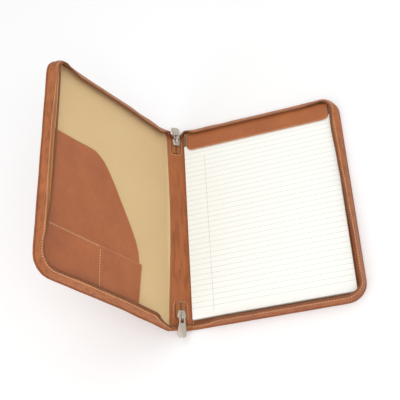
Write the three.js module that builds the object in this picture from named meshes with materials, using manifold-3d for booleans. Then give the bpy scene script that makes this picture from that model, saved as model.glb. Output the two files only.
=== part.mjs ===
// Leather document case, open: a letter-size folder with a zip round three sides.
// The right cover lies flat on the table and carries the writing pad; the left cover stands up
// from the spine. Millimetres, +Z up, +Y up the page, +X from the spine to the pad's far edge.

import * as THREE from 'three';
import { mergeVertices } from 'three/addons/utils/BufferGeometryUtils.js';
import Module from 'manifold-3d';

const wasm = await Module();
wasm.setup();

// Covers and spine
const COVER_WIDTH = 230; // from the fold to the outer edge
const CASE_HEIGHT = 310; // along the spine
const SPINE_WIDTH = 34; // between the two folds, at the foot
const SPINE_TAPER = 1.2; // degrees between the two folds: the covers come closer at the head
const OPENING_ANGLE = 111; // degrees between the two inner faces
const ZIP_STRIP = 7.4; // middle of the spine that keeps its width, each way from the middle
const HEAD_DIP = 4; // of the leather's edge below the top zip pull
const HEAD_DIP_FLAT = 6.5; // half width of the dip's straight part
const HEAD_DIP_BEND = 8.5; // half width where the dip is already easing off
const HEAD_DIP_REACH = 13; // half width of the whole dip
const CORNER_RADIUS = 26; // outer corners of each cover
const SHELL_WALL = 2.2; // cover leather with its turned edge
const SHELL_FOLD = 4; // half length of each fold in the shell
const FIT_GAP = 0.3; // between pieces that lie on each other

// Linings
const LINING_WALL = 0.8;
const LINING_MARGIN = 3.4; // inside the cover's edge, so that the gusset stands outside it
const LINING_EDGE = 0.4; // where each lining starts, outward from the fold
const LINING_BOW = 5.2; // the left lining's bulge over the spine, halfway up
const LINING_BOW_POWER = 1.5; // above 1, the bulge keeps to the middle
const SPINE_LINING_WALL = 1.2;
const SPINE_LINING_END = 4.6; // short of the spine's ends
const NOTCH_WIDTH = 14.6; // U-shaped cut at each end of the spine lining
const NOTCH_DEPTH = 38; // from the spine's end
const NOTCH_RADIUS = 4.5;
const NOTCH_MOUTH_WIDTH = 27; // where the zip tapes spread
const NOTCH_MOUTH_DEPTH = 14;

// Gusset, zip tape and coil round each cover
const GUSSET_INSET = 0.9; // outer face of the gusset's foot, inside the cover's edge
const GUSSET_WALL = 1.4;
const RIM_WIDTH = 16; // chord from the gusset's foot to the zip coil
const RIM_FOLD = 5; // half length of each fold in the rim
const RIM_SHOULDER = 0.62; // of the coil's height, where the rim's curve leaves the upright
const GUSSET_SHARE = 0.62; // of the rim's curve is leather
const TAPE_SHARE = 0.47; // of the rim's curve, where the tape starts behind the leather
const TAPE_RISE = 0.2; // of the rim's curve, in which the tape comes up level with the leather
const TAPE_WALL = 0.8;
const COIL_RADIUS = 1.2;
const THROAT_END = 38; // from the spine's middle, where the rim takes its full height
const THROAT_BLEND = 0.35; // of the throat, where the coil starts towards the rim's own lean
const GUSSET_START = 15.5; // from the spine's middle
const TAPE_UNDER_START = 11.5; // from the spine's middle, where the tape starts to sink behind it
const TAPE_START = 7.5; // from the spine's middle

// Writing pad on the right cover
const PAD_FROM_FOLD = 2.2;
const PAD_FROM_EDGE = 11.9; // leaves 215.9, the width of letter-size paper
const PAD_FROM_FOOT = 12;
const PAD_FROM_HEAD = 12.5;
const BOARD_THICKNESS = 0.6;
const PAPER_THICKNESS = 3.5;
const BINDING_WALL = 0.5;
const BINDING_LENGTH = 17;
const PAD_GAP = 0.35;

// Leather strap over the pad's head
const STRAP_WALL = 1.2;
const STRAP_REACH = 25.6; // from the pad's head to the strap's lower edge
const STRAP_FROM_FOLD = 7.9;
const STRAP_SHORT_OF_PAD = 3.2; // at the pad's outer edge
const STRAP_RADIUS = 9;

// Pockets on the left cover
const POCKET_WALL = 1.2;
const POCKET_MARGIN = 3.6;

// Zip ends on the spine, measured from the spine's end
const SLIDER_NOSE = 12.3;
const SLIDER_LENGTH = 13.5;
const SLIDER_WIDTH = 11.6;
const SLIDER_TAIL_WIDTH = 8.4;
const SLIDER_NOSE_WIDTH = 3;
const SLIDER_SHOULDER = 6.4; // from the nose to the widest place
const SLIDER_CHEEK = { length: 3.6, bend: 2, inset: 1 }; // rounding before the widest place
const PLATE_GAP = 0.4; // under the slider
const PLATE_OVERLAP = 0.3; // of the post and flanges into the plates
const LOWER_PLATE = 0.9;
const LOWER_INSET = 1; // of the lower plate's edge
const UPPER_PLATE = 1.4;
const CHANNEL_HEIGHT = 3; // between the plates
const FLANGE_DEPTH = 1.2;
const FLANGE_WALL = 1.2;
const FLANGE_INSET = 0.8;
const FLANGE_REACH = { ahead: 2, behind: 3 }; // from the widest place
const POST_WIDTH = 2;
const POST_START = 0.6; // from the slider's nose
const POST_END = 3;
const TAIL_START = 3.5; // from the slider's nose
const TAIL_WIDTH = 13; // closed zip in the notch
const TAIL_RIDGE_WIDTH = 3.4;
const TAIL_RIDGE_HEIGHT = 1.5;
const BRIDGE_START = 0.2; // from the slider's nose
const BRIDGE_WIDTH = 2.6;
const BRIDGE_WALL = 1.1;
const BRIDGE_LENGTH = 10.5;
const BRIDGE_ROUND = 1.2;
const BRIDGE_FALL = 5; // length of its falling end
const BRIDGE_FOOT = 1.6;
const PULL_THICKNESS = 1.7;
const PULL_LENGTH = 26.7; // from the hinge bar's middle
const PULL_WIDTH = 12;
const PULL_NECK_WIDTH = 8.4;
const PULL_WINDOW_WIDTH = 4.4;
const PULL_WINDOW_END = 7.6; // from the hinge bar's middle
const PULL_TIP_ROUND = 6;
const PULL_TIP_NOTCH = { half: 1.4, depth: 0.8 };
const PULL_FLARE = { length: 8, inset: 0.6 }; // of its sides towards the widest place
const HINGE_GAP = 0.4; // all round the pull's bar as it turns
const HINGE_LIFT = 0.5; // of the bar, so that the pull clears the slider's nose
const PULL_DROOP = { bottom: 9, top: 22 }; // degrees below the spine's plane, as it lies

// Lean of the rim from upright, in degrees. along: 0 to 1 from the spine's foot, round the
// cover, to the spine's head.
const RIM_LEAN = {
  right: [
    { along: 0.0, lean: 7 },
    { along: 0.31, lean: 7 },
    { along: 0.335, lean: 18 },
    { along: 0.4, lean: 18 },
    { along: 0.477, lean: 26 },
    { along: 0.559, lean: 37 },
    { along: 0.634, lean: 46 },
    { along: 0.7, lean: 33 },
    { along: 0.76, lean: 45 },
    { along: 1.0, lean: 45 },
  ],
  left: [
    { along: 0.0, lean: 17 },
    { along: 0.228, lean: 20 },
    { along: 0.28, lean: 12 },
    { along: 0.31, lean: 1 },
    { along: 0.34, lean: 1 },
    { along: 0.366, lean: 14 },
    { along: 0.437, lean: 35 },
    { along: 0.494, lean: 49 },
    { along: 0.553, lean: 54 },
    { along: 0.631, lean: 50 },
    { along: 0.69, lean: 26 },
    { along: 0.76, lean: 56 },
    { along: 1.0, lean: 58 },
  ],
};

// The limp spine hangs towards the foot: shift of both its ends, by distance across from its middle.
const SPINE_SAG = [
  { across: -112, sag: 0 },
  { across: -60, sag: 1.9 },
  { across: -18, sag: 3.6 },
  { across: -8, sag: 2 },
  { across: 8, sag: 2 },
  { across: 17, sag: 0 },
];

// The coil's way from the slider's nose to the rim. foot: the gusset's foot, as a share of the
// throat; across, inset and height: the coil's place, as shares of the throat's end, the
// slider's nose and the rim's chord.
const THROAT = [
  { foot: 0.0, across: 0.042, inset: 0.93, height: 0.1 },
  { foot: 0.09, across: 0.15, inset: 0.78, height: 0.12 },
  { foot: 0.22, across: 0.28, inset: 0.6, height: 0.32 },
  { foot: 0.42, across: 0.48, inset: 0.42, height: 0.6 },
  { foot: 0.68, across: 0.73, inset: 0.32, height: 0.84 },
  { foot: 1.0, across: 1.0, inset: 0.3, height: 0.98 },
];

// Mouth of the large pocket. across: share of the cover's width from the fold; up: share of the
// case's height from its foot.
const LARGE_MOUTH = [
  { across: 0.774, up: 0.651 },
  { across: 0.646, up: 0.654 },
  { across: 0.6, up: 0.646 },
  { across: 0.543, up: 0.616 },
  { across: 0.477, up: 0.554 },
  { across: 0.418, up: 0.485 },
  { across: 0.352, up: 0.409 },
  { across: 0.285, up: 0.319 },
  { across: 0.256, up: 0.239 },
  { across: 0.252, up: 0.13 },
];
const LARGE_POCKET_SIDE = 0.266; // share of the cover's width, at the foot
const LOWER_POCKET_TOP = 0.224; // share of the case's height
const LOWER_POCKET_CORNER = 0.2435; // share of the cover's width, at the top
const LOWER_POCKET_SIDE = 0.27; // share of the cover's width, at the foot

// Steps of the faceted curves
const COVER_COLUMNS = [34, 60, 86, 112]; // from the spine's middle
const LINING_ROWS = 8;
const FOLD_STEPS = 5;
const CORNER_STEPS = 6;
const RIM_CORNER_STEPS = 5;
const THROAT_STEPS = 8;
const GUSSET_STEPS = 4;
const EDGE_STEPS = 5;
const SIDE_STEPS = 7;
const COIL_SIDES = 6;

// Heights above the outer face of the leather
const LINING_BASE = SHELL_WALL + FIT_GAP;
const LINING_TOP = LINING_BASE + LINING_WALL;
const BOARD_BASE = LINING_TOP + FIT_GAP;
const PAPER_BASE = BOARD_BASE + BOARD_THICKNESS + FIT_GAP;
const PAPER_TOP = PAPER_BASE + PAPER_THICKNESS;
const STRAP_BASE = PAPER_TOP + 2 * FIT_GAP + BINDING_WALL;
const PLATE_BASE = SHELL_WALL + PLATE_GAP;
const PLATE_TOP = PLATE_BASE + LOWER_PLATE;
const SLIDER_TOP_BASE = PLATE_TOP + CHANNEL_HEIGHT;
const SLIDER_TOP = SLIDER_TOP_BASE + UPPER_PLATE;

const fold = THREE.MathUtils.degToRad((180 - OPENING_ANGLE) / 2);

// Materials
const leather = new THREE.MeshStandardMaterial({ color: '#b0693f', roughness: 0.55, metalness: 0 });
const innerLeather = new THREE.MeshStandardMaterial({ color: '#a8633c', roughness: 0.6, metalness: 0 });
const lining = new THREE.MeshStandardMaterial({ color: '#d6b584', roughness: 0.9, metalness: 0 });
const tapeCloth = new THREE.MeshStandardMaterial({ color: '#94693c', roughness: 0.9, metalness: 0 });
const coilNylon = new THREE.MeshStandardMaterial({ color: '#6b3a1a', roughness: 0.5, metalness: 0 });
const paper = new THREE.MeshStandardMaterial({ color: '#fbfcf5', roughness: 0.85, metalness: 0 });
const board = new THREE.MeshStandardMaterial({ color: '#9c8565', roughness: 0.9, metalness: 0 });
const bindingPaper = new THREE.MeshStandardMaterial({ color: '#7d6a58', roughness: 0.8, metalness: 0 });
const nickel = new THREE.MeshStandardMaterial({ color: '#c4b9ad', roughness: 0.35, metalness: 1 });

function smooth(t) {
  const k = THREE.MathUtils.clamp(t, 0, 1);
  return k * k * (3 - 2 * k);
}

// Reads a table's column at a key, smoothly between its rows.
function readTable(rows, key, at, column) {
  if (at <= rows[0][key]) return rows[0][column];
  for (let i = 1; i < rows.length; i += 1) {
    if (at <= rows[i][key]) {
      const share = (at - rows[i - 1][key]) / (rows[i][key] - rows[i - 1][key]);
      return THREE.MathUtils.lerp(rows[i - 1][column], rows[i][column], smooth(share));
    }
  }
  return rows[rows.length - 1][column];
}

const zipSag = readTable(SPINE_SAG, 'across', 0, 'sag');

const INSIDE = new THREE.Vector3(0, 0, 1);

// One cover's fold on the flat spine: its foot, the way up along it and the way out from it.
function foldLine(side) {
  const turn = THREE.MathUtils.degToRad(SPINE_TAPER / 2);
  return {
    foot: new THREE.Vector3((side * SPINE_WIDTH) / 2, 0, 0),
    up: new THREE.Vector3(-side * Math.sin(turn), Math.cos(turn), 0),
    out: new THREE.Vector3(side * Math.cos(turn), Math.sin(turn), 0),
  };
}

const leftFold = foldLine(-1);
const rightFold = foldLine(1);

// The case is drawn flat and then folded. across runs from the spine's middle, up along the
// spine, height from the leather's outer face to the inside.
function folded(across, up, height, foldReach) {
  const line = across < 0 ? leftFold : rightFold;
  const past = Math.abs(across) - SPINE_WIDTH / 2;
  const radius = foldReach / Math.tan(fold / 2);
  const onFold = (along, rise) =>
    line.foot.clone().addScaledVector(line.up, up).addScaledVector(line.out, along).addScaledVector(INSIDE, rise);
  let point;
  if (past <= -foldReach) {
    const inner = Math.min(Math.abs(across), ZIP_STRIP);
    const share = (Math.abs(across) - inner) / (SPINE_WIDTH / 2 - foldReach - ZIP_STRIP);
    point = new THREE.Vector3(Math.sign(across) * inner, up, height).lerp(onFold(-foldReach, height), share);
  } else if (past < foldReach) {
    const turn = (fold * (past + foldReach)) / (2 * foldReach);
    const inner = radius - height;
    point = onFold(inner * Math.sin(turn) - foldReach, radius - inner * Math.cos(turn));
  } else {
    point = onFold(
      past * Math.cos(fold) - height * Math.sin(fold),
      past * Math.sin(fold) + height * Math.cos(fold),
    );
  }
  point.y -= readTable(SPINE_SAG, 'across', across, 'sag');
  return point;
}

// Closed solid between two grids of points with the same rows and columns.
function wallBetween(upper, lower) {
  const rows = upper.length;
  const columns = upper[0].length;
  const points = [...upper.flat(), ...lower.flat()];
  const count = rows * columns;
  const triangles = [];
  const quad = (a, b, c, d) => triangles.push(a, b, c, a, c, d);
  for (let r = 0; r < rows - 1; r += 1) {
    for (let c = 0; c < columns - 1; c += 1) {
      const corner = r * columns + c;
      quad(corner, corner + 1, corner + columns + 1, corner + columns);
      quad(count + corner, count + corner + columns, count + corner + columns + 1, count + corner + 1);
    }
  }
  for (let c = 0; c < columns - 1; c += 1) {
    const last = (rows - 1) * columns + c;
    quad(c + 1, c, count + c, count + c + 1);
    quad(last, last + 1, count + last + 1, count + last);
  }
  for (let r = 0; r < rows - 1; r += 1) {
    const first = r * columns;
    const end = first + columns - 1;
    quad(first, first + columns, count + first + columns, count + first);
    quad(end + columns, end, count + end, count + end + columns);
  }
  return facedOutward(points, triangles);
}

// Tube of a regular section round a line of points, with flat ends.
function tubeAlong(line, ups, radius, sides) {
  const points = [];
  const triangles = [];
  line.forEach((centre, i) => {
    const before = line[Math.max(i - 1, 0)];
    const after = line[Math.min(i + 1, line.length - 1)];
    const ahead = after.clone().sub(before).normalize();
    const across = new THREE.Vector3().crossVectors(ups[i], ahead).normalize();
    const up = new THREE.Vector3().crossVectors(ahead, across).normalize();
    for (let k = 0; k < sides; k += 1) {
      const turn = (2 * Math.PI * (k + 0.5)) / sides;
      points.push(
        centre
          .clone()
          .addScaledVector(across, radius * Math.cos(turn))
          .addScaledVector(up, radius * Math.sin(turn)),
      );
    }
  });
  for (let i = 0; i < line.length - 1; i += 1) {
    for (let k = 0; k < sides; k += 1) {
      const here = i * sides + k;
      const next = i * sides + ((k + 1) % sides);
      triangles.push(here, next, next + sides, here, next + sides, here + sides);
    }
  }
  const last = (line.length - 1) * sides;
  for (let k = 1; k < sides - 1; k += 1) {
    triangles.push(0, k + 1, k);
    triangles.push(last, last + k, last + k + 1);
  }
  return facedOutward(points, triangles);
}

// Makes the geometry and turns its faces round when they point inwards.
function facedOutward(points, triangles) {
  let volume = 0;
  for (let i = 0; i < triangles.length; i += 3) {
    const [a, b, c] = [points[triangles[i]], points[triangles[i + 1]], points[triangles[i + 2]]];
    volume += a.dot(new THREE.Vector3().crossVectors(b, c));
  }
  const index = [...triangles];
  if (volume < 0) index.reverse();
  const geometry = new THREE.BufferGeometry();
  geometry.setAttribute('position', new THREE.Float32BufferAttribute(points.flatMap((p) => p.toArray()), 3));
  geometry.setIndex(index);
  geometry.computeVertexNormals();
  return geometry;
}

function toSolid(geometry) {
  const bare = geometry.clone();
  bare.deleteAttribute('normal');
  bare.deleteAttribute('uv');
  const merged = mergeVertices(bare, 1e-4);
  return new wasm.Manifold(
    new wasm.Mesh({
      numProp: 3,
      vertProperties: new Float32Array(merged.attributes.position.array),
      triVerts: new Uint32Array(merged.index.array),
    }),
  );
}

function fromSolid(solid) {
  const mesh = solid.getMesh();
  const geometry = new THREE.BufferGeometry();
  geometry.setAttribute('position', new THREE.BufferAttribute(new Float32Array(mesh.vertProperties), 3));
  geometry.setIndex(new THREE.BufferAttribute(new Uint32Array(mesh.triVerts), 1));
  geometry.computeVertexNormals();
  return geometry;
}

function joined(geometries) {
  return fromSolid(geometries.map(toSolid).reduce((whole, piece) => whole.add(piece)));
}

function box(x0, x1, y0, y1, z0, z1) {
  const geometry = new THREE.BoxGeometry(x1 - x0, y1 - y0, z1 - z0);
  geometry.translate((x0 + x1) / 2, (y0 + y1) / 2, (z0 + z1) / 2);
  return geometry;
}

function plate(shape, base, thickness, segments = 6) {
  const geometry = new THREE.ExtrudeGeometry(shape, {
    depth: thickness,
    bevelEnabled: false,
    curveSegments: segments,
  });
  geometry.translate(0, 0, base);
  return geometry;
}

function piece(name, geometry, material, parent) {
  const mesh = new THREE.Mesh(geometry, material);
  mesh.name = name;
  parent.add(mesh);
}

// Distance from the spine's middle to the cover's edge at a place up the case.
function coverEdge(up, margin) {
  const radius = CORNER_RADIUS - margin;
  const toEnd = Math.min(up, CASE_HEIGHT - up) - margin;
  const straight = SPINE_WIDTH / 2 + COVER_WIDTH - margin;
  if (toEnd >= radius) return straight;
  const short = radius - toEnd;
  return straight - radius + Math.sqrt(Math.max(radius * radius - short * short, 0));
}

// Rows up a cover: close together round the corners.
function coverRows(margin) {
  const radius = CORNER_RADIUS - margin;
  const corner = Array.from({ length: CORNER_STEPS + 1 }, (_, i) => {
    const turn = (Math.PI / 2) * (i / CORNER_STEPS);
    return margin + radius * (1 - Math.cos(turn));
  });
  return [...corner, ...corner.map((up) => CASE_HEIGHT - up).reverse()];
}

function sheet(rows, columnsAt, base, thickness) {
  const layer = (height) =>
    rows.map((up) => columnsAt(up).map((across) => folded(across, up, height, SHELL_FOLD)));
  return wallBetween(layer(base + thickness), layer(base));
}

function steps(from, to, count) {
  return Array.from({ length: count + 1 }, (_, i) => THREE.MathUtils.lerp(from, to, i / count));
}

// Cover leather: both covers and the spine in one piece, with a dip at the spine's head
function leatherShell() {
  const half = [
    HEAD_DIP_FLAT,
    HEAD_DIP_BEND,
    ...steps(SPINE_WIDTH / 2 - SHELL_FOLD, SPINE_WIDTH / 2 + SHELL_FOLD, FOLD_STEPS),
  ];
  const columnsAt = (up) => {
    const side = [...half, ...COVER_COLUMNS, coverEdge(up, 0)];
    return [...side.map((across) => -across).reverse(), ...side];
  };
  const layer = (height) =>
    coverRows(0).map((up) =>
      columnsAt(up).map((across) => folded(across, up - headDip(across, up), height, SHELL_FOLD)),
    );
  return wallBetween(layer(SHELL_WALL), layer(0));
}

function headDip(across, up) {
  const past = (Math.abs(across) - HEAD_DIP_FLAT) / (HEAD_DIP_REACH - HEAD_DIP_FLAT);
  const near = (up - CASE_HEIGHT + CORNER_RADIUS) / CORNER_RADIUS;
  return HEAD_DIP * (1 - smooth(past)) * smooth(near);
}

// Where a lining meets the spine's leather strip, as a distance from the spine's middle
function liningStart(side, up) {
  const bulge = Math.sin((Math.PI * up) / CASE_HEIGHT) ** LINING_BOW_POWER;
  return SPINE_WIDTH / 2 + LINING_EDGE - (side < 0 ? LINING_BOW * bulge : 0);
}

function coverLining(side) {
  const foldEnd = SPINE_WIDTH / 2 + SHELL_FOLD;
  const columnsAt = (up) =>
    [
      ...steps(liningStart(side, up), foldEnd, FOLD_STEPS),
      ...COVER_COLUMNS,
      coverEdge(up, LINING_MARGIN),
    ].map((across) => side * across);
  const ends = coverRows(LINING_MARGIN);
  const half = ends.length / 2;
  const between = steps(ends[half - 1], ends[half], LINING_ROWS).slice(1, -1);
  const rows = [...ends.slice(0, half), ...between, ...ends.slice(half)];
  return sheet(rows, columnsAt, LINING_BASE, LINING_WALL);
}

// U-shaped cut at one end of the spine's strip, wider at its mouth
function notchCutter() {
  const half = NOTCH_WIDTH / 2;
  const mouth = NOTCH_MOUTH_WIDTH / 2;
  const shape = new THREE.Shape();
  shape.moveTo(-mouth, -CORNER_RADIUS);
  shape.lineTo(mouth, -CORNER_RADIUS);
  shape.lineTo(mouth, SPINE_LINING_END);
  shape.lineTo(half, NOTCH_MOUTH_DEPTH);
  shape.lineTo(half, NOTCH_DEPTH - NOTCH_RADIUS);
  shape.quadraticCurveTo(half, NOTCH_DEPTH, half - NOTCH_RADIUS, NOTCH_DEPTH);
  shape.lineTo(-half + NOTCH_RADIUS, NOTCH_DEPTH);
  shape.quadraticCurveTo(-half, NOTCH_DEPTH, -half, NOTCH_DEPTH - NOTCH_RADIUS);
  shape.lineTo(-half, NOTCH_MOUTH_DEPTH);
  shape.lineTo(-mouth, SPINE_LINING_END);
  shape.closePath();
  return plate(shape, 0, LINING_BASE + 2 * SPINE_LINING_WALL, 4);
}

// Leather down the inside of the spine, cut out round the zip at both ends
function spineLining() {
  const columnsAt = (up) => {
    const left = steps(-liningStart(-1, up) + FIT_GAP, -ZIP_STRIP, FOLD_STEPS);
    const right = steps(ZIP_STRIP, liningStart(1, up) - FIT_GAP, FOLD_STEPS);
    return [...left, ...right];
  };
  const rows = steps(SPINE_LINING_END, CASE_HEIGHT - SPINE_LINING_END, LINING_ROWS);
  const strip = toSolid(sheet(rows, columnsAt, LINING_BASE, SPINE_LINING_WALL));
  const foot = notchCutter();
  foot.translate(0, -zipSag, 0);
  const head = notchCutter();
  head.rotateZ(Math.PI);
  head.translate(0, CASE_HEIGHT - zipSag, 0);
  return fromSolid(strip.subtract(toSolid(foot)).subtract(toSolid(head)));
}

// Stations round one cover's edge, from the spine's foot to the spine's head, each with its
// place on the flat case and the way to the inside.
function rimStations() {
  const outer = SPINE_WIDTH / 2 + COVER_WIDTH;
  const straight = outer - CORNER_RADIUS;
  const foot = [];
  for (let i = 0; i <= THROAT_STEPS; i += 1) {
    foot.push(THREE.MathUtils.lerp(TAPE_START, THROAT_END, i / THROAT_STEPS));
  }
  for (let i = 1; i < EDGE_STEPS; i += 1) {
    foot.push(THREE.MathUtils.lerp(THROAT_END, straight, i / EDGE_STEPS));
  }
  const stations = foot.map((across) => ({ across, up: 0, inX: 0, inY: 1 }));
  for (let i = 0; i <= RIM_CORNER_STEPS; i += 1) {
    const turn = (Math.PI / 2) * (i / RIM_CORNER_STEPS);
    stations.push({
      across: straight + CORNER_RADIUS * Math.sin(turn),
      up: CORNER_RADIUS * (1 - Math.cos(turn)),
      inX: -Math.sin(turn),
      inY: Math.cos(turn),
    });
  }
  for (let i = 1; i < SIDE_STEPS; i += 1) {
    const up = THREE.MathUtils.lerp(CORNER_RADIUS, CASE_HEIGHT - CORNER_RADIUS, i / SIDE_STEPS);
    stations.push({ across: outer, up, inX: -1, inY: 0 });
  }
  const mirrored = stations
    .filter((station) => station.up <= CORNER_RADIUS)
    .reverse()
    .map((station) => ({ ...station, up: CASE_HEIGHT - station.up, inY: -station.inY }));
  const whole = [...stations, ...mirrored];
  let length = 0;
  whole.forEach((station, i) => {
    if (i > 0) {
      length += Math.hypot(station.across - whole[i - 1].across, station.up - whole[i - 1].up);
    }
    station.length = length;
  });
  whole.forEach((station) => {
    station.along = station.length / length;
  });
  return whole;
}

// One station's curve from the gusset's foot to the coil, on the flat case.
function rimSection(station, leanTable) {
  const lean = THREE.MathUtils.degToRad(readTable(leanTable, 'along', station.along, 'lean'));
  const foot = new THREE.Vector3(
    station.across + station.inX * GUSSET_INSET,
    station.up + station.inY * GUSSET_INSET,
    LINING_BASE,
  );
  const rimInset = RIM_WIDTH * Math.sin(lean);
  const rimCoil = new THREE.Vector3(
    foot.x + station.inX * rimInset,
    foot.y + station.inY * rimInset,
    LINING_BASE + RIM_WIDTH * Math.cos(lean),
  );
  const inThroat = (station.across - TAPE_START) / (THROAT_END - TAPE_START);
  let coil = rimCoil;
  if (inThroat < 1) {
    const row = (column) => readTable(THROAT, 'foot', inThroat, column);
    const throatCoil = new THREE.Vector3(
      THROAT_END * row('across'),
      foot.y + station.inY * (SLIDER_NOSE * row('inset') - GUSSET_INSET),
      LINING_BASE + RIM_WIDTH * row('height'),
    );
    coil = throatCoil.lerp(rimCoil, smooth((inThroat - THROAT_BLEND) / (1 - THROAT_BLEND)));
  }
  const shoulder = foot.clone();
  shoulder.z += RIM_SHOULDER * (coil.z - foot.z);
  const curve = new THREE.QuadraticBezierCurve3(foot, shoulder, coil);
  const inward = new THREE.Vector3(coil.x - foot.x, coil.y - foot.y, 0).normalize();
  return { curve, inward, inThroat };
}

function insideOf(section, share, depth) {
  const tangent = section.curve.getTangent(share);
  const forward = tangent.dot(section.inward);
  const normal = section.inward.clone().multiplyScalar(tangent.z);
  normal.z -= forward;
  normal.normalize();
  return section.curve.getPoint(share).addScaledVector(normal, depth);
}

function foldedSide(point, side) {
  return folded(side * point.x, point.y, point.z, RIM_FOLD);
}

function rimLayer(sections, shares, depthAt, side) {
  return sections.map((section) =>
    shares.map((share) => foldedSide(insideOf(section, share, depthAt(share, section)), side)),
  );
}

function gusset(sections, side) {
  const shares = steps(0, GUSSET_SHARE, GUSSET_STEPS);
  const leathered = sections.filter((section) => section.curve.v0.x >= GUSSET_START);
  return wallBetween(
    rimLayer(leathered, shares, () => 0, side),
    rimLayer(leathered, shares, () => GUSSET_WALL, side),
  );
}

// The tape lies behind the leather and comes up level with it past the leather's edge.
function tapeDepth(share, section) {
  const behind = GUSSET_WALL + FIT_GAP;
  const underLeather = smooth((section.curve.v0.x - TAPE_UNDER_START) / (GUSSET_START - TAPE_UNDER_START));
  const risen = smooth((share - GUSSET_SHARE) / TAPE_RISE);
  return behind * underLeather * (1 - risen);
}

// The tape's shares of the rim's curve, ending at the coil's side
function tapeShares(section) {
  const chord = section.curve.v0.distanceTo(section.curve.v2);
  const end = 1 - (COIL_RADIUS + FIT_GAP) / chord;
  return [TAPE_SHARE, GUSSET_SHARE, THREE.MathUtils.lerp(GUSSET_SHARE, end, 0.5), end];
}

function zipTape(sections, side) {
  const layer = (wall) =>
    sections.map((section) =>
      tapeShares(section).map((share) =>
        foldedSide(insideOf(section, share, tapeDepth(share, section) + wall), side),
      ),
    );
  return wallBetween(layer(0), layer(TAPE_WALL));
}

function zipCoil(sections, side) {
  const line = sections.map((section) => foldedSide(insideOf(section, 1, TAPE_WALL / 2), side));
  const ups = sections.map((section) => {
    const outside = foldedSide(insideOf(section, 1, -1), side);
    return outside.sub(foldedSide(insideOf(section, 1, TAPE_WALL / 2), side)).normalize();
  });
  return tubeAlong(line, ups, COIL_RADIUS, COIL_SIDES);
}

function addRim(name, side, parent) {
  const sections = rimStations().map((station) => rimSection(station, RIM_LEAN[name]));
  piece(`gusset_${name}`, gusset(sections, side), leather, parent);
  piece(`zip_tape_${name}`, zipTape(sections, side), tapeCloth, parent);
  piece(`zip_coil_${name}`, zipCoil(sections, side), coilNylon, parent);
}

// Slider: two plates joined by the post that parts the coils, with a bridge for the pull
function sliderOutline(width, tailWidth, noseWidth, nose, tail, shoulder) {
  const cheek = width / 2 - SLIDER_CHEEK.inset;
  const bend = shoulder - SLIDER_CHEEK.bend;
  const taper = shoulder - SLIDER_CHEEK.length;
  const shape = new THREE.Shape();
  shape.moveTo(-tailWidth / 2, tail);
  shape.lineTo(-width / 2, shoulder);
  shape.quadraticCurveTo(-width / 2, bend, -cheek, taper);
  shape.lineTo(-noseWidth / 2, nose);
  shape.lineTo(noseWidth / 2, nose);
  shape.lineTo(cheek, taper);
  shape.quadraticCurveTo(width / 2, bend, width / 2, shoulder);
  shape.lineTo(tailWidth / 2, tail);
  shape.closePath();
  return shape;
}

const hingeBarReach = (PULL_THICKNESS / 2) * Math.SQRT2 + HINGE_GAP;
const hingeFromEnd = SLIDER_NOSE + BRIDGE_START + BRIDGE_WALL + hingeBarReach;
const hingeHeight = SLIDER_TOP + hingeBarReach + HINGE_LIFT;

function sliderBridge() {
  const start = SLIDER_NOSE + BRIDGE_START;
  const end = start + BRIDGE_LENGTH;
  const foot = SLIDER_TOP_BASE + UPPER_PLATE / 2;
  const inside = hingeHeight + hingeBarReach;
  const top = inside + BRIDGE_WALL;
  const shape = new THREE.Shape();
  shape.moveTo(start, foot);
  shape.lineTo(start, top - BRIDGE_ROUND);
  shape.quadraticCurveTo(start, top, start + BRIDGE_ROUND, top);
  shape.lineTo(end - BRIDGE_FALL, top);
  shape.quadraticCurveTo(end - BRIDGE_ROUND, top, end, foot);
  shape.lineTo(end - BRIDGE_FOOT, foot);
  shape.quadraticCurveTo(end - 2 * BRIDGE_ROUND, inside, end - BRIDGE_FALL, inside);
  shape.lineTo(start + BRIDGE_WALL, inside);
  shape.lineTo(start + BRIDGE_WALL, foot);
  shape.closePath();
  const geometry = plate(shape, -BRIDGE_WIDTH / 2, BRIDGE_WIDTH, 4);
  geometry.applyMatrix4(
    new THREE.Matrix4().makeBasis(
      new THREE.Vector3(0, 1, 0),
      new THREE.Vector3(0, 0, 1),
      new THREE.Vector3(1, 0, 0),
    ),
  );
  return geometry;
}

function slider() {
  const nose = SLIDER_NOSE;
  const tail = SLIDER_NOSE + SLIDER_LENGTH;
  const shoulder = SLIDER_NOSE + SLIDER_SHOULDER;
  const upper = sliderOutline(SLIDER_WIDTH, SLIDER_TAIL_WIDTH, SLIDER_NOSE_WIDTH, nose, tail, shoulder);
  const lower = sliderOutline(
    SLIDER_WIDTH - 2 * LOWER_INSET,
    SLIDER_TAIL_WIDTH - LOWER_INSET,
    SLIDER_NOSE_WIDTH - LOWER_INSET,
    nose + LOWER_INSET / 2,
    tail - LOWER_INSET,
    shoulder,
  );
  const sunkIn = SLIDER_TOP_BASE + PLATE_OVERLAP;
  const post = box(
    -POST_WIDTH / 2,
    POST_WIDTH / 2,
    nose + POST_START,
    nose + POST_END,
    PLATE_TOP - PLATE_OVERLAP,
    sunkIn,
  );
  const flangeOut = SLIDER_WIDTH / 2 - FLANGE_INSET;
  const flanges = [-1, 1].map((side) => {
    const near = side * (flangeOut - FLANGE_WALL);
    const far = side * flangeOut;
    return box(
      Math.min(near, far),
      Math.max(near, far),
      shoulder - FLANGE_REACH.ahead,
      shoulder + FLANGE_REACH.behind,
      SLIDER_TOP_BASE - FLANGE_DEPTH,
      sunkIn,
    );
  });
  return joined([
    plate(upper, SLIDER_TOP_BASE, UPPER_PLATE, 3),
    plate(lower, PLATE_BASE, LOWER_PLATE, 3),
    post,
    ...flanges,
    sliderBridge(),
  ]);
}

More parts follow.
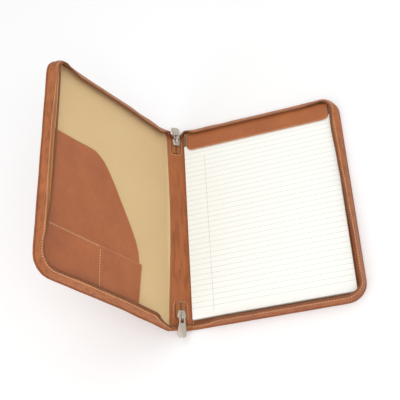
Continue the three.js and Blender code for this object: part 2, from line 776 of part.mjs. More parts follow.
// Pull drawn flat from its hinge bar, then laid in the droop that it rests in
function pull(droop) {
  const half = PULL_WIDTH / 2;
  const neck = PULL_NECK_WIDTH / 2;
  const back = -PULL_THICKNESS / 2;
  const widest = PULL_LENGTH - PULL_TIP_ROUND;
  const flareStart = widest - PULL_FLARE.length;
  const flareIn = half - PULL_FLARE.inset;
  const shape = new THREE.Shape();
  shape.moveTo(-neck, back);
  shape.lineTo(neck, back);
  shape.lineTo(neck, PULL_WINDOW_END);
  shape.quadraticCurveTo(flareIn, flareStart, half, widest);
  shape.quadraticCurveTo(half, PULL_LENGTH, PULL_TIP_NOTCH.half, PULL_LENGTH);
  shape.lineTo(0, PULL_LENGTH - PULL_TIP_NOTCH.depth);
  shape.lineTo(-PULL_TIP_NOTCH.half, PULL_LENGTH);
  shape.quadraticCurveTo(-half, PULL_LENGTH, -half, widest);
  shape.quadraticCurveTo(-flareIn, flareStart, -neck, PULL_WINDOW_END);
  shape.closePath();
  const window = new THREE.Path();
  const open = PULL_WINDOW_WIDTH / 2;
  window.moveTo(-open, -back);
  window.lineTo(-open, PULL_WINDOW_END);
  window.lineTo(open, PULL_WINDOW_END);
  window.lineTo(open, -back);
  window.closePath();
  shape.holes.push(window);
  const geometry = plate(shape, -PULL_THICKNESS / 2, PULL_THICKNESS, 5);
  geometry.rotateZ(Math.PI);
  geometry.rotateX(THREE.MathUtils.degToRad(droop));
  geometry.translate(0, hingeFromEnd, hingeHeight);
  return geometry;
}

// Closed end of the zip, from inside the slider to the notch's top
function zipTail() {
  const base = PLATE_TOP + FIT_GAP;
  const top = base + TAPE_WALL;
  const start = SLIDER_NOSE + TAIL_START;
  const end = NOTCH_DEPTH - FIT_GAP;
  const half = TAIL_WIDTH / 2;
  const ridge = TAIL_RIDGE_WIDTH / 2;
  const shape = new THREE.Shape();
  shape.moveTo(-half, base);
  shape.lineTo(half, base);
  shape.lineTo(half, top);
  shape.lineTo(ridge, top);
  shape.quadraticCurveTo(ridge, top + TAIL_RIDGE_HEIGHT, 0, top + TAIL_RIDGE_HEIGHT);
  shape.quadraticCurveTo(-ridge, top + TAIL_RIDGE_HEIGHT, -ridge, top);
  shape.lineTo(-half, top);
  shape.closePath();
  const geometry = plate(shape, 0, end - start, 3);
  geometry.rotateX(Math.PI / 2);
  geometry.translate(0, end, 0);
  return geometry;
}

function addZipEnd(name, parent) {
  piece(`zip_tail_${name}`, zipTail(), tapeCloth, parent);
  piece(`slider_${name}`, slider(), nickel, parent);
  piece(`pull_${name}`, pull(PULL_DROOP[name]), nickel, parent);
}

// Pockets on the left cover, drawn in its own plane with x towards the fold
function pocketOutline(mouth, sideFoot) {
  const margin = POCKET_MARGIN;
  const radius = CORNER_RADIUS - margin;
  const outer = -(COVER_WIDTH - margin);
  const shape = new THREE.Shape();
  shape.moveTo(-sideFoot * COVER_WIDTH, margin);
  shape.lineTo(outer + radius, margin);
  shape.absarc(outer + radius, margin + radius, radius, -Math.PI / 2, -Math.PI, true);
  shape.lineTo(outer, mouth[0].up * CASE_HEIGHT);
  const points = mouth.map((row) => new THREE.Vector2(-row.across * COVER_WIDTH, row.up * CASE_HEIGHT));
  shape.lineTo(points[0].x, points[0].y);
  if (points.length > 1) shape.splineThru(points.slice(1));
  shape.closePath();
  return shape;
}

function addPockets(parent) {
  const largeBase = LINING_TOP + FIT_GAP;
  const lowerBase = largeBase + POCKET_WALL + FIT_GAP;
  const large = pocketOutline(LARGE_MOUTH, LARGE_POCKET_SIDE);
  const lowerMouth = [{ across: LOWER_POCKET_CORNER, up: LOWER_POCKET_TOP }];
  const lower = pocketOutline(lowerMouth, LOWER_POCKET_SIDE);
  piece('pocket_large', plate(large, largeBase, POCKET_WALL, 3), innerLeather, parent);
  piece('pocket_lower', plate(lower, lowerBase, POCKET_WALL, 6), innerLeather, parent);
}

// Writing pad and its strap on the right cover
const padFoot = PAD_FROM_FOOT;
const padHead = CASE_HEIGHT - PAD_FROM_HEAD;
const padInner = PAD_FROM_FOLD;
const padOuter = COVER_WIDTH - PAD_FROM_EDGE;

function padBinding() {
  const front = box(
    padInner,
    padOuter,
    padHead - BINDING_LENGTH,
    padHead + FIT_GAP + BINDING_WALL,
    PAPER_TOP + FIT_GAP,
    PAPER_TOP + FIT_GAP + BINDING_WALL,
  );
  const head = box(
    padInner,
    padOuter,
    padHead + FIT_GAP,
    padHead + FIT_GAP + BINDING_WALL,
    BOARD_BASE,
    PAPER_TOP + FIT_GAP + BINDING_WALL / 2,
  );
  return joined([front, head]);
}

function padStrap() {
  const inner = STRAP_FROM_FOLD;
  const outer = padOuter - STRAP_SHORT_OF_PAD;
  const foot = padHead - STRAP_REACH;
  const backFace = padHead + 2 * FIT_GAP + BINDING_WALL + PAD_GAP;
  const head = backFace + STRAP_WALL;
  const shape = new THREE.Shape();
  shape.moveTo(inner, head);
  shape.lineTo(inner, foot + STRAP_RADIUS);
  shape.quadraticCurveTo(inner, foot, inner + STRAP_RADIUS, foot);
  shape.lineTo(outer - STRAP_RADIUS, foot);
  shape.quadraticCurveTo(outer, foot, outer, foot + STRAP_RADIUS);
  shape.lineTo(outer, head);
  shape.closePath();
  const over = plate(shape, STRAP_BASE, STRAP_WALL, 5);
  const down = box(inner, outer, backFace, head, BOARD_BASE, STRAP_BASE + STRAP_WALL / 2);
  return joined([over, down]);
}

function addPad(parent) {
  const boardTop = BOARD_BASE + BOARD_THICKNESS;
  piece('pad_backing', box(padInner, padOuter, padFoot, padHead, BOARD_BASE, boardTop), board, parent);
  piece('pad_paper', box(padInner, padOuter, padFoot, padHead, PAPER_BASE, PAPER_TOP), paper, parent);
  piece('pad_binding', padBinding(), bindingPaper, parent);
  piece('pad_strap', padStrap(), leather, parent);
}

// Lays a group's x and y on one cover's inner face, with x towards the case's right.
function placeOnCover(group, line, side) {
  const outward = line.out.clone().multiplyScalar(Math.cos(fold)).addScaledVector(INSIDE, Math.sin(fold));
  const inward = INSIDE.clone().multiplyScalar(Math.cos(fold)).addScaledVector(line.out, -Math.sin(fold));
  const basis = new THREE.Matrix4().makeBasis(outward.multiplyScalar(side), line.up, inward);
  group.quaternion.setFromRotationMatrix(basis);
  group.position.copy(line.foot);
}

// Assembly. Everything hangs on the spine's plane; the case rests on its right cover.
const spine = new THREE.Group();
piece('leather_shell', leatherShell(), leather, spine);
piece('spine_lining', spineLining(), leather, spine);
piece('lining_left', coverLining(-1), lining, spine);
piece('lining_right', coverLining(1), lining, spine);
addRim('left', -1, spine);
addRim('right', 1, spine);

const zipFoot = new THREE.Group();
zipFoot.position.set(0, -zipSag, 0);
addZipEnd('bottom', zipFoot);
spine.add(zipFoot);

const zipHead = new THREE.Group();
zipHead.position.set(0, CASE_HEIGHT - zipSag, 0);
zipHead.rotation.z = Math.PI;
addZipEnd('top', zipHead);
spine.add(zipHead);

const rightCover = new THREE.Group();
placeOnCover(rightCover, rightFold, 1);
addPad(rightCover);
spine.add(rightCover);

const leftCover = new THREE.Group();
placeOnCover(leftCover, leftFold, -1);
addPockets(leftCover);
spine.add(leftCover);

// The right cover lies flat. The origin is the middle of the object's footprint box, on the
// surface that it rests on.
const documentCase = new THREE.Group();
spine.quaternion.copy(rightCover.quaternion).invert();
documentCase.add(spine);
documentCase.updateMatrixWorld(true);
const reach = new THREE.Box3().setFromObject(documentCase, true);
const middle = reach.getCenter(new THREE.Vector3());
spine.position.set(-middle.x, -middle.y, -reach.min.z);
documentCase.updateMatrixWorld(true);

export default documentCase;
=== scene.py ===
"""Open zip-around leather document case with a ruled pad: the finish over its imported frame."""

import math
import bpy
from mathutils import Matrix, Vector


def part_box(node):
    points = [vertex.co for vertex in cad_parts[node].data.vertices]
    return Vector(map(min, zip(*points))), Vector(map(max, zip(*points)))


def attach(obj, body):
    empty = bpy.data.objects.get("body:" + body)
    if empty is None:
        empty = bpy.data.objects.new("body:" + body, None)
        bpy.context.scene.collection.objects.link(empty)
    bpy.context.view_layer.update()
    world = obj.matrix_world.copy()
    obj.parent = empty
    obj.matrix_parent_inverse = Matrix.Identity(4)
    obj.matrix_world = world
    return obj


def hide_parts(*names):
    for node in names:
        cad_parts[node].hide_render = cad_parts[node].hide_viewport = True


bl_info = {
    "name": "Leather document case",
    "version": (1, 0, 0),
    "blender": (4, 5, 0),
    "location": "View3D > Sidebar > Document case",
    "description": "Leather, linings, zip, pad, metal and stitching of an open document case",
    "category": "Add Mesh",
}

import bmesh
import bpy
from bpy.props import FloatProperty, FloatVectorProperty, PointerProperty
from mathutils import Matrix, Vector, kdtree, noise

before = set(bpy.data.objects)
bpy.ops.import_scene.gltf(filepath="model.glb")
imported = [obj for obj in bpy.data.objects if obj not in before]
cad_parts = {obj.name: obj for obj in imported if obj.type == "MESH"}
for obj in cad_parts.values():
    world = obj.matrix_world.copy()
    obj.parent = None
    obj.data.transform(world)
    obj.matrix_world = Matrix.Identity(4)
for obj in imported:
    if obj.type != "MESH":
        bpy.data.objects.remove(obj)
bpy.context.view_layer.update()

MM = 0.001

# Covers and spine, as in the frame
COVER_WIDTH = 230 * MM
CASE_HEIGHT = 310 * MM
SPINE_WIDTH = 34 * MM
SPINE_TAPER = math.radians(1.2)
FOLD = math.radians((180 - 111) / 2)
ZIP_STRIP = 7.4 * MM
HEAD_DIP = 4 * MM
HEAD_DIP_FLAT = 6.5 * MM
HEAD_DIP_REACH = 13 * MM
CORNER_RADIUS = 26 * MM
SHELL_WALL = 2.2 * MM
SHELL_FOLD = 4 * MM
FIT_GAP = 0.3 * MM

# Linings
LINING_WALL = 0.8 * MM
LINING_MARGIN = 3.4 * MM
LINING_EDGE = 0.4 * MM
LINING_BOW = 5.2 * MM
LINING_HEAD_ROUND = 16 * MM
SPINE_LINING_WALL = 1.2 * MM
SPINE_LINING_END = 4.6 * MM
NOTCH_HALF = 7.3 * MM
NOTCH_DEPTH = 38 * MM
NOTCH_RADIUS = 4.5 * MM
NOTCH_MOUTH_HALF = 13.5 * MM
NOTCH_MOUTH_DEPTH = 14 * MM

# Gusset, zip tape and coil round each cover. COIL_SHOWN and TAIL_COIL are a coil's half width and
# half height
GUSSET_INSET = 0.9 * MM
GUSSET_WALL = 1.4 * MM
TURN_IN_WALL = 0.7 * MM
TURN_IN_FROM_FOLD = 1.2 * MM
TURN_IN_GAP = 0.4 * MM
TURN_IN_TOP = 0.86 * CASE_HEIGHT
RIM_WIDTH = 16 * MM
RIM_FOLD = 5 * MM
RIM_SHOULDER = 0.62
TAPE_SHARE = 0.6
TAPE_RISE = 0.13
TAPE_WALL = 0.8 * MM
COIL_RADIUS = 1.2 * MM
COIL_SHOWN = (1.55 * MM, 1.3 * MM)
GUSSET_START = 15.5 * MM
TAPE_UNDER_START = 11.5 * MM
TAPE_START = 7.5 * MM

# Pad and strap on the right cover
PAD_FROM_FOLD = 2.2 * MM
PAD_FROM_EDGE = 11.9 * MM
PAD_FROM_FOOT = 12 * MM
PAD_FROM_HEAD = 12.5 * MM
BOARD_THICKNESS = 0.6 * MM
PAPER_THICKNESS = 3.5 * MM
BINDING_WALL = 0.5 * MM
PAD_GAP = 0.35 * MM
STRAP_WALL = 1.2 * MM
STRAP_REACH = 25.6 * MM
STRAP_FROM_FOLD = 6.4 * MM
STRAP_SHORT_OF_PAD = 3.2 * MM
STRAP_RADIUS = 9 * MM
STRAP_BEND = 1.2 * MM

# Pockets on the left cover
POCKET_WALL = 1.2 * MM
POCKET_MARGIN = 3.6 * MM
LARGE_POCKET_SIDE = 0.266
LOWER_POCKET_TOP = 0.224
LOWER_POCKET_CORNER = 0.2435
LOWER_POCKET_SIDE = 0.27
POCKET_DIVIDER = 0.567

# Zip ends on the spine
SLIDER_NOSE = 12.3 * MM
TAIL_START = 3.5 * MM
TAIL_WIDTH = 13 * MM
TAIL_BASE = 3.8 * MM
TAIL_SEAM_HALF = 2.2 * MM
TAIL_SEAM_RISE = 0.5 * MM
TAIL_COIL = (1.2 * MM, 0.8 * MM)

# Seams: how far from its edge each one runs
GUSSET_SEAM = 2 * MM
COVER_SEAM = 3.2 * MM
NOTCH_SEAM = 2.3 * MM
POCKET_SEAM = 2.4 * MM

# Relief of the leather and the cloth: waves, wrinkles and hems. The spine's strip wrinkles by the
# first depth everywhere, and by the second one more in its lower half
HIDE_WAVE = 0.14 * MM
HIDE_CREASE = 0.22 * MM
LINING_WAVE = 0.12 * MM
STRIP_WRINKLE = (0.3 * MM, 0.5 * MM)
STRIP_CREASE = 0.16 * MM
GUSSET_WAVE = 0.4 * MM
GUSSET_CREASE = 0.16 * MM
TAPE_WAVE = 0.2 * MM
POCKET_WAVE = 0.25 * MM
POCKET_HEM = 0.3 * MM
STRAP_WAVE = 0.15 * MM
STRAP_HEM = 0.35 * MM

# Meshes: the large sheets' cells, the bands along a sheet's edge, how far in the edge is worn,
# the distance at which points are merged, and the cells of arcs, rims, coils and rim seams
CELL = 8 * MM
BANDS = (0.5 * MM, 0.7 * MM, 1.4 * MM)
EDGE_WEAR = 1.8 * MM
WELD = 0.001 * MM
ARC_CELLS = 12
RIM_CELLS = 260
COIL_SECTIONS = 420
SEAM_SECTIONS = 300
GUSSET_ROWS = (0, 0.1, 0.22, 0.36, 0.5, 0.62, 0.74, 0.84, 0.9, 0.94, 0.97, 0.985, 1)

# Heights above the hide's outer face
LINING_BASE = SHELL_WALL + FIT_GAP
LINING_TOP = LINING_BASE + LINING_WALL
BOARD_BASE = LINING_TOP + FIT_GAP
PAPER_BASE = BOARD_BASE + BOARD_THICKNESS + FIT_GAP
PAPER_TOP = PAPER_BASE + PAPER_THICKNESS
STRAP_BASE = PAPER_TOP + 2 * FIT_GAP + BINDING_WALL
LARGE_POCKET_BASE = LINING_TOP + FIT_GAP
LOWER_POCKET_BASE = LARGE_POCKET_BASE + POCKET_WALL + FIT_GAP

# Lean of the rim from upright: share of the rim's length, degrees
RIM_LEAN = {
    1: ((0.0, 7), (0.31, 7), (0.335, 18), (0.4, 18), (0.477, 26), (0.559, 37), (0.634, 46),
        (0.7, 33), (0.76, 45), (1.0, 45)),
    -1: ((0.0, 17), (0.228, 20), (0.28, 12), (0.31, 1), (0.34, 1), (0.366, 14), (0.437, 35),
         (0.494, 49), (0.553, 54), (0.631, 50), (0.69, 26), (0.76, 56), (1.0, 58)),
}

# Gusset's edge next to the zip: share of the rim's length, share of the rim's width
GUSSET_EDGE = {
    1: ((0.0, 0.78), (0.27, 0.8), (0.36, 0.9), (1.0, 0.92)),
    -1: ((0.0, 0.84), (0.36, 0.88), (0.41, 0.84), (0.45, 0.8), (0.56, 0.82), (0.63, 0.9),
         (1.0, 0.92)),
}

# Coil of the right cover's foot: how much nearer to the pad it runs beside the spine
FOOT_RISE = 2.2 * MM

# Shift of the limp spine towards the foot: millimetres across from its middle, millimetres down
SPINE_SAG = ((-112, 0), (-60, 1.9), (-18, 3.6), (-8, 2), (8, 2), (17, 0))
ZIP_SAG = 2 * MM

# The coil's way out of each zip end. end: where the rim has its full height; blend: share of
# that way where its lean sets in. Rows: share of the way, coil's place across as a share of the
# end, its inset as a share of the slider's nose, its height as a share of the rim's width.
THROATS = {
    "foot": {
        "end": 60 * MM,
        "blend": 0.7,
        "rows": (
            (0.0, 0.027, 0.93, 0.1),
            (0.04, 0.067, 0.61, 0.13),
            (0.09, 0.142, 0.33, 0.17),
            (0.19, 0.267, 0.26, 0.25),
            (0.38, 0.455, 0.22, 0.37),
            (0.57, 0.623, 0.2, 0.55),
            (0.78, 0.81, 0.24, 0.78),
            (1.0, 1.0, 0.3, 0.98),
        ),
    },
    "head": {
        "end": 38 * MM,
        "blend": 0.35,
        "rows": (
            (0.0, 0.042, 0.93, 0.1),
            (0.09, 0.15, 0.78, 0.12),
            (0.22, 0.28, 0.6, 0.32),
            (0.42, 0.48, 0.42, 0.6),
            (0.68, 0.73, 0.32, 0.84),
            (1.0, 1.0, 0.3, 0.98),
        ),
    },
}

# Mouth of the large pocket: shares of the cover's width from the fold and of the case's height
LARGE_MOUTH = (
    (0.774, 0.651), (0.646, 0.654), (0.6, 0.646), (0.543, 0.616), (0.477, 0.554),
    (0.418, 0.485), (0.352, 0.409), (0.285, 0.319), (0.256, 0.239), (0.252, 0.13),
)

# Pad ruling
RULING_PITCH = 7.715 * MM
FIRST_RULE = 258.43 * MM
RULES = 32
RULE_HALF = 0.2 * MM
MARGIN_LINE = 29.9 * MM
MARGIN_HALF = 0.25 * MM

# The photograph's camera, in the part's frame
CAMERA_PLACE = (0.264562, -0.567976, 1.001821)
CAMERA_RIGHT = (0.946635, -0.049497, -0.318485)
CAMERA_UP = (0.200739, 0.863631, 0.462435)
CAMERA_LENS = 77.6
SENSOR = 36.0

# Studio: each light's place, width and power, the sky's strength, and the floor, just lower
# than the waves of the hide that lies on it
LIGHTS = {
    "key_softbox": ((0.7, -1.1, 1.7), 1.4, 12.0),
    "fill_softbox": ((-0.9, -0.9, 1.5), 1.6, 6.2),
    "top_softbox": ((0.0, 0.5, 2.0), 1.6, 6.2),
}
LIGHTS_AIM = (0, 0, 0.05)
SKY_STRENGTH = 0.7
FLOOR_HALF = 4
FLOOR_DROP = 0.4 * MM


def linear(code):
    """Linear colour from an sRGB hex value."""
    channels = [int(code[i:i + 2], 16) / 255 for i in (1, 3, 5)]
    return tuple(c / 12.92 if c <= 0.04045 else ((c + 0.055) / 1.055) ** 2.4 for c in channels)


def colour_property(name, description, code):
    """A colour that the user can change, given as a hex value."""
    return FloatVectorProperty(
        name=name,
        description=description,
        subtype="COLOR",
        size=3,
        min=0,
        max=1,
        default=linear(code),
    )


def length_property(name, description, default):
    """A length that the user can change, in metres."""
    return FloatProperty(
        name=name, description=description, default=default, unit="LENGTH", precision=5
    )


class CaseColours(bpy.types.PropertyGroup):
    """Colours of the case's leather, cloth, zip and pad."""

    leather: colour_property("Leather", "Tan cover leather", "#B26734")
    # Also the colour of the painted shade in hollows and shaded edges, and of the dark edge paint
    leather_dye_and_shade: colour_property("Leather shade", "Dye that has pooled in the grain", "#7E3F1E")
    leather_worn: colour_property("Leather edge", "Rubbed and turned edges", "#D39A70")
    pocket: colour_property("Pocket leather", "Smooth leather of the pockets", "#B36536")
    lining: colour_property("Lining", "Beige lining cloth", "#E2C491")
    lining_dark: colour_property("Lining shade", "Shaded threads of the lining", "#C9A673")
    tape: colour_property("Zip tape", "Woven tan tape", "#BE8650")
    coil: colour_property("Zip coil", "Brown nylon", "#9A5A2E")
    thread: colour_property("Thread", "Waxed sewing thread", "#F9E2BE")
    paper: colour_property("Paper", "Sheets of the pad", "#FCFDF8")
    rule: colour_property("Ruling", "Printed lines of the pad", "#BFC8C4")
    binding: colour_property("Binding", "Paper tape over the pad's head", "#85705A")
    board: colour_property("Board", "Grey board behind the pad", "#9C8565")
    nickel: colour_property("Nickel", "Satin nickel plate", "#D6CBBE")


class CaseSizes(bpy.types.PropertyGroup):
    """Sizes of the small work that the frame leaves out."""

    stitch_pitch: length_property("Stitch pitch", "From one stitch to the next", 3.6 * MM)
    stitch_length: length_property("Stitch length", "Thread that shows between two holes", 1.9 * MM)
    thread_radius: length_property("Thread radius", "Half the thread's thickness", 0.5 * MM)
    coil_pitch: length_property("Coil pitch", "From one turn of the zip to the next", 1.6 * MM)
    coil_wire: length_property("Coil wire radius", "Half the nylon wire's thickness", 0.42 * MM)
    metal_edge: length_property("Metal edge", "Rounding of the sliders and pulls", 0.28 * MM)
    grain: length_property("Leather grain", "Width of one cell of the grain", 1.5 * MM)
    weave: length_property("Lining weave", "From one thread to the next", 0.9 * MM)


def smooth(t):
    """0 up to a share of 0, 1 from a share of 1, and an even S between them."""
    k = min(max(t, 0), 1)
    return k * k * (3 - 2 * k)


def read_table(rows, at, column=1):
    """A column at a value of the first one, smoothly between the rows."""
    if at <= rows[0][0]:
        return rows[0][column]
    for before, after in zip(rows, rows[1:]):
        if at <= after[0]:
            share = smooth((at - before[0]) / (after[0] - before[0]))
            return before[column] + (after[column] - before[column]) * share
    return rows[-1][column]


def ripple(x, y, size, seed):
    """Soft noise from -1 to 1 with hills about that size."""
    return noise.noise(Vector((x / size, y / size, seed)))


def fold_line(side):
    """One cover's fold on the flat spine: its foot, the way up it and the way out from it."""
    turn = SPINE_TAPER / 2
    return (
        Vector((side * SPINE_WIDTH / 2, 0, 0)),
        Vector((-side * math.sin(turn), math.cos(turn), 0)),
        Vector((side * math.cos(turn), math.sin(turn), 0)),
    )


INSIDE = Vector((0, 0, 1))
FOLD_LINES = {side: fold_line(side) for side in (-1, 1)}


def cover_matrix(side):
    """A cover's own plane on the spine: x towards the case's right, y up it, z to the inside."""
    foot, up, out = FOLD_LINES[side]
    outward = out * math.cos(FOLD) + INSIDE * math.sin(FOLD)
    inward = INSIDE * math.cos(FOLD) - out * math.sin(FOLD)
    turn = Matrix((outward * side, up, inward)).transposed().to_4x4()
    return Matrix.Translation(foot) @ turn


PAPER_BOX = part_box("pad_paper")
RIGHT_COVER = Matrix.Translation(
    Vector(PAPER_BOX[0]) - Vector((PAD_FROM_FOLD, PAD_FROM_FOOT, PAPER_BASE))
)
SPINE = RIGHT_COVER @ cover_matrix(1).inverted()
LEFT_COVER = SPINE @ cover_matrix(-1)
HALF_TURN = Matrix.Rotation(math.pi, 4, "Z")
ZIP_ENDS = {
    "bottom": SPINE @ Matrix.Translation((0, -ZIP_SAG, 0)),
    "top": SPINE @ Matrix.Translation((0, CASE_HEIGHT - ZIP_SAG, 0)) @ HALF_TURN,
}


def folded(across, up, height, reach=SHELL_FOLD):
    """A point of the flat case in its folded place. across runs from the spine's middle."""
    foot, way_up, out = FOLD_LINES[-1 if across < 0 else 1]
    past = abs(across) - SPINE_WIDTH / 2
    base = foot + way_up * up
    if past <= -reach:
        inner = min(abs(across), ZIP_STRIP)
        share = (abs(across) - inner) / (SPINE_WIDTH / 2 - reach - ZIP_STRIP)
        middle = Vector((math.copysign(inner, across), up, height))
        point = middle.lerp(base - out * reach + INSIDE * height, share)
    elif past < reach:
        radius = reach / math.tan(FOLD / 2)
        turn = FOLD * (past + reach) / (2 * reach)
        inner = radius - height
        along = inner * math.sin(turn) - reach
        point = base + out * along + INSIDE * (radius - inner * math.cos(turn))
    else:
        along = past * math.cos(FOLD) - height * math.sin(FOLD)
        point = base + out * along + INSIDE * (past * math.sin(FOLD) + height * math.cos(FOLD))
    point.y -= read_table(SPINE_SAG, across / MM) * MM
    return SPINE @ point


def steps(start, end, size):
    """Values from start to end, both left out, about that far apart."""
    count = max(round((end - start) / size), 1)
    return [start + (end - start) * i / count for i in range(1, count)]


def arc(x, y, radius, start, end, count=ARC_CELLS):
    """Points of an arc, with its angles in degrees."""
    turns = [math.radians(start + (end - start) * i / count) for i in range(count + 1)]
    return [(x + radius * math.cos(t), y + radius * math.sin(t)) for t in turns]


def through(points, count=6):
    """Points of a smooth curve through the given ones."""
    line = []
    last = len(points) - 1
    for i in range(last):
        a, b = Vector(points[max(i - 1, 0)]), Vector(points[i])
        c, d = Vector(points[i + 1]), Vector(points[min(i + 2, last)])
        for k in range(count):
            t = k / count
            point = (
                b * 2
                + (c - a) * t
                + (a * 2 - b * 5 + c * 4 - d) * t * t
                + (b * 3 - a - c * 3 + d) * t ** 3
            ) / 2
            line.append((point.x, point.y))
    line.append(tuple(points[last]))
    return line


def nearness(line, closed=True):
    """A function that gives a flat point's distance from a line of points."""
    ends = list(line) + (list(line[:1]) if closed else [])
    samples = []
    for a, b in zip(ends, ends[1:]):
        start, end = Vector((*a, 0)), Vector((*b, 0))
        count = max(int((end - start).length / (0.4 * MM)), 1)
        samples += [start.lerp(end, i / count) for i in range(count)]
    tree = kdtree.KDTree(len(samples))
    for i, sample in enumerate(samples):
        tree.insert(sample, i)
    tree.balance()
    return lambda x, y: tree.find((x, y, 0))[2]


def cut_sheet(outline, columns, rows, bands):
    """A flat closed slab of that outline, cut at the columns and rows, with bands at its edge."""
    bm = bmesh.new()
    face = bm.faces.new([bm.verts.new((x, y, 0)) for x, y in outline])
    for band in bands:
        bmesh.ops.inset_region(
            bm, faces=[face], thickness=band, use_even_offset=True, use_boundary=True
        )
    cuts = [((x, 0, 0), (1, 0, 0)) for x in columns] + [((0, y, 0), (0, 1, 0)) for y in rows]
    for at, way in cuts:
        bmesh.ops.bisect_plane(
            bm, geom=bm.verts[:] + bm.edges[:] + bm.faces[:], dist=1e-6, plane_co=at, plane_no=way
        )
    bmesh.ops.solidify(bm, geom=bm.faces[:], thickness=1)
    bmesh.ops.recalc_face_normals(bm, faces=bm.faces[:])
    return bm


def material_layers(bm):
    """What the materials read: the flat place, the wear of the edge, and a darkening: painted shade
    in hollows, creases and shaded edges, plus edge paint and random darker patches.
    """
    return (
        bm.loops.layers.uv.new("flat"),
        bm.verts.layers.float.new("edge"),
        bm.verts.layers.float.new("painted_shade_and_dark_tone"),
    )


def lay_sheet(bm, outline, place, wear=1.0, shade=None):
    """Puts each point of a slab in place, and fills its layers for the materials."""
    distance = nearness(outline)
    flat, edge, painted_shade_and_dark_tone = material_layers(bm)
    for face in bm.faces:
        for loop in face.loops:
            loop[flat].uv = loop.vert.co.xy
    middle = sum(vert.co.z for vert in bm.verts) / len(bm.verts)
    for vert in bm.verts:
        x, y, z = vert.co
        from_edge = distance(x, y)
        vert[edge] = wear * (1 - smooth(from_edge / EDGE_WEAR))
        vert[painted_shade_and_dark_tone] = shade(x, y, from_edge) if shade else 0.0
        vert.co = place(x, y, z > middle, from_edge)


def rounding(from_edge, radius):
    """How far a wall's face gives way near its edge, where the edge is rounded."""
    near = min(max(from_edge, 0), radius)
    return radius - math.sqrt(max(radius ** 2 - (radius - near) ** 2, 0))


def wall_height(base, wall, inner, from_edge, radius):
    """Height of a wall's inner or outer face, with its edge rounded over."""
    round_off = rounding(from_edge, radius)
    return base + wall - round_off if inner else base + round_off


def add_piece(name, bm, material, nodes=(), body="case", sharp=None):
    """Makes the object, closed and facing out, with its material, body and nodes."""
    bmesh.ops.remove_doubles(bm, verts=bm.verts[:], dist=WELD)
    if bm.calc_volume(signed=True) < 0:
        bmesh.ops.reverse_faces(bm, faces=bm.faces[:])
    mesh = bpy.data.meshes.new(name)
    bm.to_mesh(mesh)
    bm.free()
    mesh.shade_smooth()
    if sharp:
        mesh.set_sharp_from_angle(angle=sharp)
    mesh.materials.append(material)
    piece = bpy.data.objects.new(name, mesh)
    bpy.context.scene.collection.objects.link(piece)
    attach(piece, body)
    if nodes:
        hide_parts(*nodes)
    return piece


def add_node(tree, kind, inputs=None, **settings):
    """Adds a node, sets it, and fills its inputs with values or links."""
    node = tree.nodes.new(kind)
    for name, value in settings.items():
        setattr(node, name, value)
    for key, value in (inputs or {}).items():
        if isinstance(value, bpy.types.NodeSocket):
            tree.links.new(value, node.inputs[key])
        else:
            node.inputs[key].default_value = value
    return node


def new_material(name):
    """An empty material and its node tree, or the material of that name and None."""
    material = bpy.data.materials.get(name)
    if material:
        return material, None
    material = bpy.data.materials.new(name)
    material.use_nodes = True
    material.node_tree.nodes.clear()
    return material, material.node_tree


def finish_surface(tree, inputs, heights):
    """Joins the shader, one bump for each (height, depth) and the output."""
    normal = None
    for height, depth in heights:
        bump_inputs = {"Height": height, "Distance": depth, "Strength": 1.0}
        if normal:
            bump_inputs["Normal"] = normal
        normal = add_node(tree, "ShaderNodeBump", bump_inputs).outputs["Normal"]
    shader_inputs = dict(inputs)
    if normal:
        shader_inputs["Normal"] = normal
    shader = add_node(tree, "ShaderNodeBsdfPrincipled", shader_inputs)
    add_node(tree, "ShaderNodeOutputMaterial", {"Surface": shader.outputs["BSDF"]})


def opaque(colour):
    """A colour with its alpha."""
    return (*colour, 1.0)


